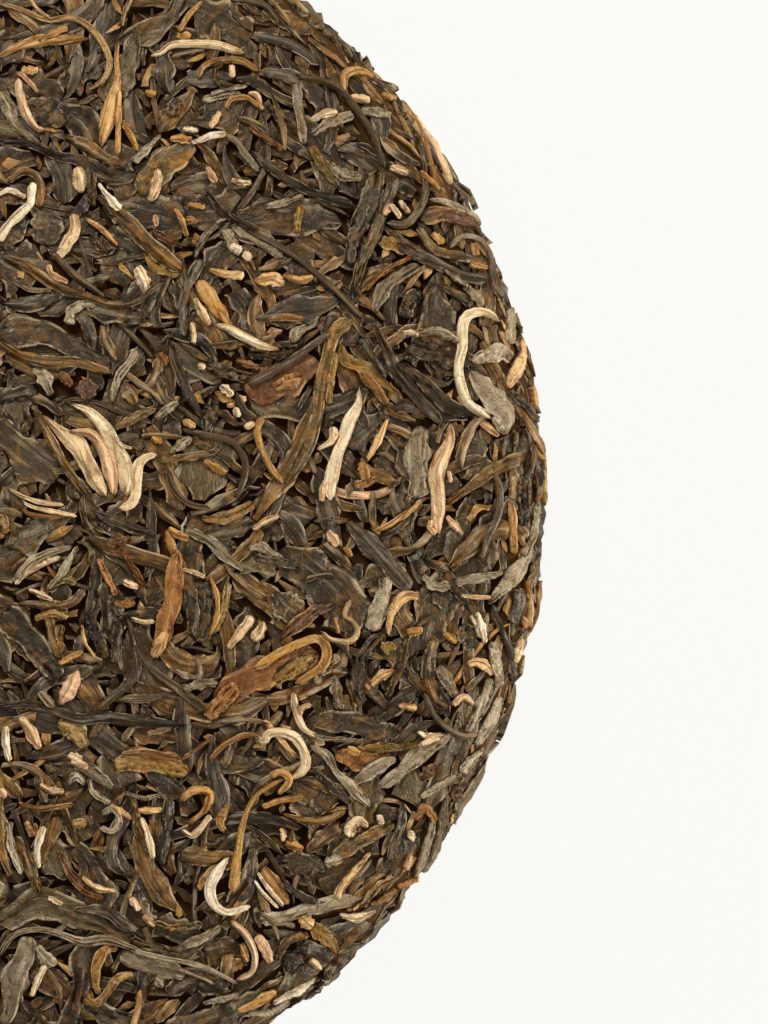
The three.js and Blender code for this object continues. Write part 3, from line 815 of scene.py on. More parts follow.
# Crumpled leaves
# Broad leaves that weren't rolled. They crumpled as they dried and were pressed flat, matt grey-brown
# with worn creases.
CRUMPLED = FLAT | dict(
    name="crumpled_leaves", slot="grey_leaf", seed=5, count=1200, length=(8, 22), width=(3.2, 7.5),
    thick=(0.55, 0.95), stations=14, points=9,
    tones=[(41, 30, 20), (46, 39, 33), (62, 49, 32), (71, 62, 50), (94, 79, 54)],
    furrow_tone=(40, 24, 8), ridge_tone=(180, 160, 128), stain_tone=(122, 84, 38), shares=(0.38, 0.65, 0.5),
    in_view={
        "round grey leaf": ((22, 34, 34, 22), 0.8, (49, 212), (49, 229), (49, 246)),
        "grey leaf under the cream S": ((20, 22, 10), 0.3, (5, 249), (16, 233), (29, 218)),
        "dark crumpled leaf": ((20, 30, 30, 18), 0, (36, 106), (50, 112), (68, 124)),
        "leaf under the ochre edge": ((8, 14, 8), 0.6, (92, 235), (101, 243), (112, 252)),
        "broad grey leaf": ((12, 24, 20, 14, 10), 0.7, (379, 170), (374, 192), (363, 218), (353, 244),
            (350, 265)),
        "its right branch": ((10, 12, 12, 10, 8, 4), 0.9, (397, 178), (387, 202), (379, 228),
            (366, 255), (358, 284), (355, 297)),
        "flat purplish leaf": ((14, 28, 38, 32, 12), 0.25, (236, 216), (270, 217), (305, 218),
            (342, 224)),
        "big soft leaf": ((24, 28, 26, 20, 10), 0.7, (0, 336), (26, 332), (53, 337), (79, 350),
            (113, 366)),
        "flat dark crumple": ((12, 24, 24, 12), 0, (87, 309), (118, 313), (147, 318)),
        "stalk beside the square": ((10, 13, 10), 0.9, (208, 366), (232, 374), (255, 379)),
        "dark upright leaf": ((12, 15, 12), 0.2, (216, 395), (211, 418), (208, 434)),
        "leaf under the cream tip": ((14, 22, 18, 10), 0.6, (408, 347), (429, 353), (453, 358),
            (474, 366)),
        "grey-blue strip": ((10, 14, 12), 0.5, (250, 353), (284, 355), (308, 345)),
        "dark wide leaf at the right": ((12, 16, 12), 0.3, (405, 318), (410, 302), (421, 291)),
        "dark plate by the rim": ((10, 12, 10), 0.3, (526, 476), (526, 500), (525, 526)),
        "leaf low on the left": ((22, 30, 26, 12), 0.3, (5, 611), (26, 632), (47, 658), (61, 679)),
        "grey plate": ((14, 19, 14), 0.8, (208, 579), (208, 611), (205, 642)),
        "leaf in the middle": ((8, 10, 8), 0.8, (256, 555), (279, 561), (300, 566)),
        "ridged dark leaf": ((20, 32, 28, 14), 0.5, (276, 596), (288, 606), (306, 614)),
        "leaf with grey edges": ((12, 14, 12, 14, 12), 0.4, (382, 634), (369, 647), (361, 666),
            (358, 687), (364, 705)),
        "dark oval": ((14, 20, 14), 0.3, (434, 590), (442, 597), (452, 601)),
        "oval under the white pair": ((14, 22, 18), 0.3, (464, 624), (468, 634), (474, 648)),
        "long dark leaf": ((12, 22, 22, 14), 0.35, (308, 721), (345, 721), (377, 729), (398, 732)),
        "dark folded leaf": ((12, 24, 24, 12), 0.5, (282, 860), (305, 863), (326, 871)),
        "round dark leaf": ((16, 26, 16), 0.1, (284, 963), (295, 963), (306, 963)),
        "big folded leaf": ((22, 30, 34, 30, 20, 14, 10), 1, (0, 921), (21, 910), (42, 903), (66, 907),
            (89, 918), (111, 928), (134, 940)),
        "end of the folded leaf": ((8, 10, 12, 14, 7), 1, (132, 939), (158, 947), (182, 951),
            (200, 942), (218, 928)),
        "black crumple at the foot": ((14, 26, 26, 12), 0, (168, 992), (195, 979), (232, 990)),
        "curled ring": ((6, 7, 7, 6), 0.9, (224, 63), (217, 70), (217, 79), (224, 86), (234, 86)),
        "plum leaf by the buds": ((12, 16, 10), 0.2, (180, 100), (176, 108), (172, 118)),
    })
MAT.append(CRUMPLED)

# Bedded leaves
# Broad dull leaves low in the mat, thin and pressed hard against the mass. They show only where the
# leaves over them leave a gap.
BEDDED = FLAT | dict(
    name="bedded_leaves", slot="dark_leaf", seed=21, count=3000, length=(7, 14), width=(3, 6.5),
    thick=(0.3, 0.5), stations=9, points=6, layer=(0.8, 1.3), sunk=1.2, least=0.03,
    tones=[(45, 30, 18), (46, 38, 28), (58, 42, 26), (63, 52, 37)],
    furrow_tone=(34, 20, 9), ridge_tone=(148, 126, 96), stain_tone=(104, 72, 34), shares=(0.38, 0.5, 0.5),
    in_view={})
MAT.append(BEDDED)

# Olive leaves
# Pieces of leaf that stayed green-brown as they dried, pressed flat among the dark ones, with ochre
# stains.
OLIVE = FLAT | dict(
    name="olive_leaves", slot="olive_leaf", seed=8, count=420, length=(8, 24), width=(1.8, 5.2),
    thick=(0.6, 1.0), stations=13, points=7, crumple=0.6, told_apart=0.8,
    tones=[(86, 70, 45), (98, 76, 42), (122, 92, 42), (146, 107, 46), (144, 121, 76)],
    furrow_tone=(44, 28, 8), ridge_tone=(206, 184, 132), stain_tone=(168, 110, 36), shares=(0.55, 0.5, 0.6),
    in_view={
        "broad olive-grey leaf": ((18, 29, 29, 27, 12), 0, (141, 196), (152, 180), (165, 166),
            (180, 156), (194, 143)),
        "long olive leaf": ((14, 15, 14, 14, 13, 12, 14, 12, 4), 0.3, (353, 321), (339, 329),
            (332, 339), (326, 366), (321, 392), (318, 413), (311, 437), (300, 463), (287, 484)),
        "its narrow twin": ((6, 8, 6), 0.6, (337, 353), (332, 379), (329, 405)),
        "olive branch": ((6, 14, 14, 12, 5), 0.5, (342, 345), (347, 361), (363, 368), (382, 382),
            (395, 392)),
        "olive and ochre leaf": ((5, 17, 15, 5), 0.75, (308, 922), (318, 930), (332, 942), (339, 955)),
        "mottled middle of the broad red leaf": ((7, 15, 14, 7), 0.6, (276, 681), (295, 668), (314, 654)),
        "yellow-brown leaf": ((14, 26, 24, 12), 0.75, (115, 765), (150, 758), (190, 772)),
        "leaf beside the cream block": ((10, 20, 14), 0.6, (147, 255), (163, 266), (182, 274)),
        "ochre patch of the flat leaf": ((6, 8, 6), 0.9, (301, 207), (299, 220), (297, 234)),
        "patch below the broad leaf": ((8, 14, 8), 0.6, (371, 236), (390, 244), (408, 252)),
        "leaf toward the rim": ((6, 10, 16, 10), 0.3, (447, 505), (474, 484), (513, 461), (526, 458)),
        "ochre edge in the middle": ((6, 12, 12, 8), 0.5, (203, 518), (224, 518), (242, 511),
            (255, 503)),
        "left low leaf": ((5, 8, 7), 0.9, (37, 618), (53, 613), (71, 616)),
        "buff leaf at the left": ((6, 9, 6), 1, (53, 584), (66, 579), (79, 582)),
        "upright by the dark leaf": ((8, 9, 7), 0.4, (63, 624), (61, 647), (61, 658)),
        "narrow leaf by the golden edge": ((6, 9, 6), 0.9, (229, 582), (226, 605), (216, 632)),
        "buff stub": ((9, 12, 8), 0.8, (382, 650), (388, 647), (396, 645)),
        "olive band": ((5, 9, 8, 5), 0.4, (358, 747), (387, 747), (419, 745)),
        "strip with a pale end": ((10, 15, 14, 6), 0.2, (334, 856), (358, 842), (395, 823)),
        "crumpled buff leaf": ((10, 22, 20, 10), 0.9, (60, 722), (76, 728), (87, 747)),
        "leaf at the foot": ((7, 11, 8), 0, (155, 923), (179, 928), (203, 923)),
        "buff chip": ((8, 11, 7), 0.8, (74, 824), (81, 822), (88, 821)),
        "crumple by the dark stalk": ((7, 11, 11, 6), 0.3, (311, 147), (324, 165), (337, 186)),
    })
MAT.append(OLIVE)

# Russet leaves
# Pieces of leaf that turned red-brown as they aged, with a dry bark-like surface. They were pressed
# flat, or the broad one folded over along its edge, and are held by the strips round them.
RUSSET = FLAT | dict(
    name="russet_leaves", slot="russet_leaf", seed=9, count=170, length=(8, 22), width=(1.8, 4.6),
    thick=(0.6, 1.0), stations=13, points=7, crumple=0.6, told_apart=0.85,
    tones=[(78, 53, 40), (100, 66, 44), (122, 76, 37), (146, 94, 42), (170, 118, 68)],
    furrow_tone=(58, 32, 16), ridge_tone=(206, 156, 94), stain_tone=(108, 68, 30), shares=(0.45, 0.5, 0.5),
    in_view={
        "red leaf": ((9, 17, 20, 18, 17, 8), 0.75, (179, 553), (176, 574), (176, 595), (168, 618),
            (163, 637), (155, 655)),
        "broad red leaf": ((16, 30, 34, 30, 16), 0.5, (318, 652), (294, 664), (266, 672), (240, 684),
            (216, 702)),
        "its lower lobe": ((16, 18, 10), 0.85, (238, 684), (224, 700), (208, 718)),
        "large red-brown leaf": ((26, 40, 36, 20), 0.3, (248, 394), (268, 386), (292, 374), (318, 360)),
        "tan patch on it": ((8, 16, 9), 0.9, (274, 388), (288, 383), (303, 378)),
        "mauve leaf at the rim": ((10, 20, 16, 6), 0.1, (421, 219), (445, 214), (468, 218), (485, 223)),
        "plum strip": ((5, 9, 8, 4), 0.15, (153, 232), (168, 240), (184, 248)),
        "beaded red strip": ((5, 6, 6), 0.3, (250, 128), (266, 139), (284, 151)),
        "orange edge": ((3, 5, 4), 0.8, (366, 291), (387, 270), (413, 257)),
        "dark red leaf": ((14, 21, 14), 0, (87, 380), (89, 390), (90, 400)),
        "red chip": ((7, 10, 7), 0.4, (61, 374), (68, 380), (74, 387)),
        "red patch": ((5, 9, 6), 0.6, (161, 353), (165, 360), (168, 366)),
        "thin red stick": ((5, 6, 5), 0.5, (121, 545), (137, 571), (147, 587)),
        "pale red stick": ((5, 7, 5), 1, (100, 558), (108, 574), (118, 595)),
        "short red strip": ((6, 8, 5), 0.3, (108, 545), (120, 541), (132, 537)),
        "orange-brown chip": ((5, 8, 6), 0.8, (116, 603), (127, 603), (137, 603)),
        "mauve strip": ((8, 14, 13, 6), 0.1, (282, 639), (298, 624), (316, 611), (335, 603)),
        "brown leaf with a bright middle": ((12, 22, 22, 10), 0.6, (337, 752), (355, 758), (372, 762),
            (392, 756)),
        "mauve crumple": ((8, 14, 8), 0.15, (422, 779), (429, 772), (436, 765)),
        "dark oval near the rim": ((9, 14, 9), 0, (458, 785), (459, 794), (460, 803)),
        "red and cream strip": ((5, 9, 9, 5), 0.3, (63, 852), (71, 871), (87, 889), (105, 897)),
        "orange curl": ((6, 9, 6), 0.7, (416, 820), (426, 808), (437, 822)),
        "orange edge at the rim": ((4, 6, 5), 1, (400, 889), (411, 884), (421, 880)),
        "red strip by the pebbles": ((5, 7, 5), 0.4, (237, 361), (248, 365), (260, 368)),
    })
MAT.append(RUSSET)

# Pale buds
# Leaf buds under a cream down, curled or hooked as they dried. They weren't crushed, and lie on top of
# the mat, the brightest things on the face.
BUDS = ROLLED | dict(
    name="pale_buds", slot="pale_bud", seed=7, count=150, length=(5, 14), width=(1.0, 1.9),
    thick=(0.8, 1.3), stations=15, points=6, sunk=0.6, proud=0.2, layer=(0.0, 0.8), bend=0.6, hooked=2.0,
    furrow=0.45, told_apart=0.85,
    tones=[(194, 154, 114), (224, 176, 130), (224, 192, 144), (230, 206, 162), (236, 220, 190)],
    furrow_tone=(138, 100, 62), ridge_tone=(248, 230, 198), stain_tone=(184, 144, 98),
    shares=(0.6, 0.4, 0.35),
    in_view={
        "pale strip at the top": ((4, 7, 8, 8, 9, 4), 0.6, (152, 57), (162, 54), (173, 46), (196, 45),
            (217, 46), (234, 51), (245, 54)),
        "peach bud": ((8, 10, 8, 5), 0.2, (20, 80), (22, 96), (28, 115), (38, 129), (46, 131)),
        "mauve splinter": ((4, 5, 3), 0.1, (20, 74), (29, 82), (40, 94)),
        "pip in the ring": ((5, 7, 5), 0.15, (232, 66), (233, 72), (233, 79)),
        "peach bits by the ring": ((5, 7, 5), 0.3, (211, 129), (216, 121), (221, 113)),
        "cream chip": ((4, 6, 4), 1, (184, 130), (191, 131), (199, 132)),
        "cream curve": ((4, 7, 6), 1, (192, 144), (203, 141), (211, 137), (227, 135)),
        "pale patch of the olive leaf": ((5, 11, 11, 5), 0.45, (159, 170), (159, 182), (156, 193),
            (152, 203)),
        "ribbed bud": ((8, 15, 14, 8), 0.4, (80, 168), (81, 176), (82, 186), (83, 194)),
        "cream wedge": ((3, 7, 10), 0.9, (100, 184), (106, 193), (114, 203), (122, 211)),
        "cream bend": ((8, 9, 9, 10, 9), 0.9, (34, 184), (34, 196), (31, 207), (16, 221), (4, 236),
            (0, 243)),
        "cream arc": ((4, 6, 5), 0.9, (0, 196), (13, 192), (28, 199)),
        "foot of the twist": ((8, 12, 12, 7), 0.5, (76, 215), (77, 230), (68, 247), (59, 261)),
        "buff chip": ((4, 6, 4), 0.2, (156, 216), (157, 222), (158, 228)),
        "peach crumple": ((5, 8, 6), 0, (208, 168), (212, 176), (217, 184)),
        "cream crumple": ((4, 7, 5), 0.5, (232, 181), (242, 184), (252, 184)),
        "white block": ((9, 11, 9), 1, (231, 247), (237, 250), (243, 253)),
        "cut end": ((7, 9, 7), 0.7, (244, 254), (248, 257), (252, 260)),
        "cream stub at the top": ((5, 9, 7), 0.5, (352, 96), (362, 98), (371, 101)),
        "wedge on the rim": ((3, 7, 11, 13, 5), 0.35, (408, 99), (429, 123), (439, 146), (450, 173),
            (455, 182)),
        "cream hook at the top": ((4, 6, 5), 0.4, (249, 94), (258, 97), (263, 111)),
        "cream and yellow chip": ((5, 9, 7), 0.85, (311, 122), (324, 115), (338, 113)),
        "first white stripe": ((4, 6, 4), 0.7, (391, 205), (396, 212), (401, 219)),
        "second white stripe": ((4, 6, 4), 0.8, (400, 201), (405, 208), (410, 214)),
        "peach chip by the stripes": ((4, 8, 5), 0.2, (384, 216), (388, 210), (394, 205)),
        "yellow chip": ((6, 9, 6), 0.5, (391, 167), (400, 170), (409, 173)),
        "buff curl": ((5, 7, 5), 0.15, (50, 266), (55, 276), (70, 284)),
        "cream block": ((11, 14, 10), 0.75, (138, 268), (144, 279), (149, 292)),
        "cream tip": ((4, 9, 9, 8, 2), 0.7, (216, 326), (229, 329), (245, 338), (262, 346), (281, 351)),
        "inner bud": ((4, 10, 5), 0.45, (196, 299), (203, 313), (211, 326)),
        "narrow bud": ((4, 6, 5), 0.5, (193, 323), (195, 333), (195, 344)),
        "square with a hole": ((6, 8, 6), 0.6, (199, 367), (203, 367), (207, 368)),
        "cream pip": ((7, 10, 7), 0.75, (222, 386), (228, 391), (233, 397)),
        "small cream pip": ((5, 8, 6), 0.6, (236, 408), (238, 413), (239, 418)),
        "third pip": ((5, 7, 5), 0.6, (246, 429), (250, 426), (255, 423)),
        "fan, outer": ((3, 11, 18, 17, 19, 6), 0.5, (45, 416), (63, 432), (79, 445), (88, 461),
            (97, 479), (108, 496)),
        "fan, middle": ((3, 10, 13, 13, 8), 0.2, (71, 432), (92, 434), (105, 450), (113, 474),
            (116, 495)),
        "fan, inner": ((3, 11, 15, 16, 17, 10), 0.7, (74, 405), (89, 411), (105, 426), (116, 445),
            (126, 468), (129, 496)),
        "fan, prong": ((3, 4, 2), 0.5, (116, 434), (123, 445), (134, 449)),
        "cream hook by the fan": ((5, 10, 10, 10, 10, 6), 0.6, (158, 455), (147, 458), (139, 468),
            (139, 487), (134, 503), (121, 508)),
        "first squiggle": ((3, 5, 4), 0.65, (12, 489), (26, 497), (47, 503), (66, 505)),
        "second squiggle": ((3, 5, 4), 0.55, (26, 503), (38, 508), (63, 513), (79, 516)),
        "cream edge": ((4, 6, 5), 0.6, (403, 333), (411, 333), (419, 335)),
        "big cream hook": ((6, 9, 10, 10, 11, 10, 9, 10, 11, 11, 8), 0.8, (501, 321), (492, 314),
            (479, 312), (468, 316), (463, 326), (463, 347), (459, 366), (461, 384), (468, 403),
            (479, 411), (491, 418)),
        "straight peach bud": ((5, 11, 15, 15, 15, 15, 13, 5), 0.35, (451, 424), (450, 442), (442, 458),
            (437, 474), (438, 495), (439, 511), (437, 524), (440, 534)),
        "its lower prong": ((4, 6, 4), 0.35, (431, 520), (430, 528), (436, 534)),
        "small bud beside it": ((3, 5, 3), 0.4, (449, 471), (450, 477), (451, 483)),
        "split bud": ((3, 9, 13, 14, 13, 13, 10), 0.75, (360, 388), (359, 405), (350, 421), (345, 439),
            (337, 458), (332, 479), (331, 500)),
        "its side prong": ((9, 7, 3), 0.55, (335, 427), (332, 441), (318, 450)),
        "its fork": ((5, 6, 5), 0.4, (326, 480), (323, 491), (322, 502)),
        "two cream strips": ((4, 9, 4), 0.3, (447, 516), (455, 526), (463, 535)),
        "peach chip low down": ((6, 11, 7), 0.1, (328, 531), (333, 538), (338, 546)),
        "ochre and cream bud": ((4, 7, 5), 0.4, (254, 530), (266, 521), (280, 516)),
        "cream inner leaf": ((5, 9, 10, 6), 0.8, (18, 584), (26, 574), (42, 563), (63, 557)),
        "squiggle at the left": ((4, 6, 4), 0.5, (31, 589), (39, 592), (55, 600)),
        "cream bit in the sticks": ((5, 8, 5), 0.3, (125, 581), (132, 584), (140, 587)),
        "cream line": ((3, 5, 4), 0.5, (133, 617), (143, 621), (156, 621)),
        "cream line by the edge": ((3, 5, 4), 0.5, (184, 569), (195, 572), (206, 577)),
        "cream drop": ((10, 11, 8, 6), 0.45, (253, 616), (247, 625), (238, 636), (229, 648)),
        "second drop": ((8, 12, 11, 4), 0.6, (252, 638), (259, 634), (263, 627), (264, 621)),
        "peach seed leaf": ((3, 13, 17, 14, 4), 0.2, (80, 669), (77, 677), (73, 686), (67, 696),
            (62, 704)),
        "striped cream strip": ((5, 12, 12, 7), 0.35, (22, 716), (32, 729), (42, 748)),
        "left cream strip": ((7, 8, 7), 0.9, (9, 725), (8, 742), (12, 760)),
        "white bits": ((6, 11, 7), 0.6, (70, 754), (77, 757), (85, 760)),
        "first of the white pair": ((4, 8, 5), 0.9, (477, 612), (482, 626), (486, 643)),
        "second of the white pair": ((3, 5, 4), 0.7, (472, 615), (477, 626), (482, 638)),
        "rim bud low down": ((5, 8, 5), 0.5, (524, 639), (520, 651), (516, 663)),
        "cream lines by the blade": ((3, 5, 4), 0.3, (461, 595), (475, 597), (491, 597)),
        "peach hook at the rim": ((5, 8, 5), 0.4, (453, 705), (464, 697), (474, 705)),
        "frayed end, upper": ((4, 7, 3), 0.7, (418, 731), (428, 736), (444, 734)),
        "frayed end, lower": ((4, 6, 3), 0.6, (421, 744), (430, 740), (440, 738)),
        "cream sickle": ((4, 9, 9, 6, 4), 0.6, (294, 692), (297, 708), (304, 727), (319, 737)),
        "its prong": ((4, 6, 4), 0.4, (301, 714), (304, 707), (312, 704)),
        "peach hook": ((8, 9, 9, 10, 10, 11, 9, 4), 0.68, (256, 734), (264, 741), (270, 733), (285, 732),
            (298, 739), (306, 756), (303, 770), (292, 778)),
        "cream crescent": ((3, 11, 12, 9, 7, 5), 1, (230, 856), (217, 872), (211, 888), (215, 903),
            (229, 911), (251, 905)),
        "first white line": ((3, 5, 4), 0.95, (258, 871), (268, 886), (284, 905)),
        "second white line": ((3, 4, 3), 0.8, (255, 879), (264, 892), (279, 907)),
        "pale curl by the bean": ((4, 6, 4), 0.3, (282, 827), (284, 833), (283, 840)),
        "peach curl": ((8, 12, 10, 5), 0.6, (350, 837), (352, 826), (360, 820), (369, 826)),
        "pip by the peach curl": ((5, 7, 5), 0.7, (379, 814), (381, 819), (382, 824)),
        "cream spear": ((4, 9, 3), 0.65, (341, 915), (358, 918), (377, 911)),
        "pink curl": ((6, 8, 7, 6, 4), 0.05, (232, 920), (246, 933), (255, 952), (253, 971),
            (239, 979)),
        "pink bud beside it": ((7, 12, 11, 6), 0.2, (258, 935), (263, 943), (268, 953), (271, 962)),
        "cream chip at the foot": ((6, 8, 5), 0.4, (311, 960), (316, 964), (322, 969)),
        "pale long leaf at the foot": ((5, 12, 10, 3), 1, (275, 1006), (297, 994), (317, 980)),
        "white bud": ((6, 7, 5), 0.8, (47, 964), (40, 977), (33, 995)),
        "white tip": ((4, 6, 3), 0.5, (50, 896), (56, 899), (64, 903)),
        "cream upright": ((6, 8, 7, 4), 0.95, (46, 825), (41, 839), (39, 852), (41, 867)),
        "cream bud at the left": ((5, 7, 5), 0.4, (42, 783), (53, 789), (66, 790)),
        "cream stub at the edge": ((7, 9, 6), 0.3, (0, 788), (4, 791), (8, 796)),
        "cream head of the twist": ((5, 8, 6), 0.4, (73, 760), (81, 763), (90, 766)),
        "pale edge of the stalk": ((4, 6, 8, 5), 0.6, (143, 816), (148, 830), (152, 845), (154, 857)),
        "cream leg of the hook": ((4, 7, 5), 0.7, (183, 829), (194, 834), (204, 824), (212, 814)),
        "cream streak": ((4, 7, 4), 0.4, (84, 875), (97, 886), (117, 890)),
        "cream nub": ((6, 8, 5), 0.25, (132, 896), (136, 902), (140, 909)),
        "small buff nub": ((6, 8, 5), 0, (145, 914), (150, 919), (156, 924)),
        "cream bits on the strips": ((5, 7, 5), 0.5, (411, 830), (412, 835), (413, 841)),
        "bud on the rim strips": ((4, 7, 5), 0.1, (412, 855), (410, 862), (407, 870)),
    })
MAT.append(BUDS)

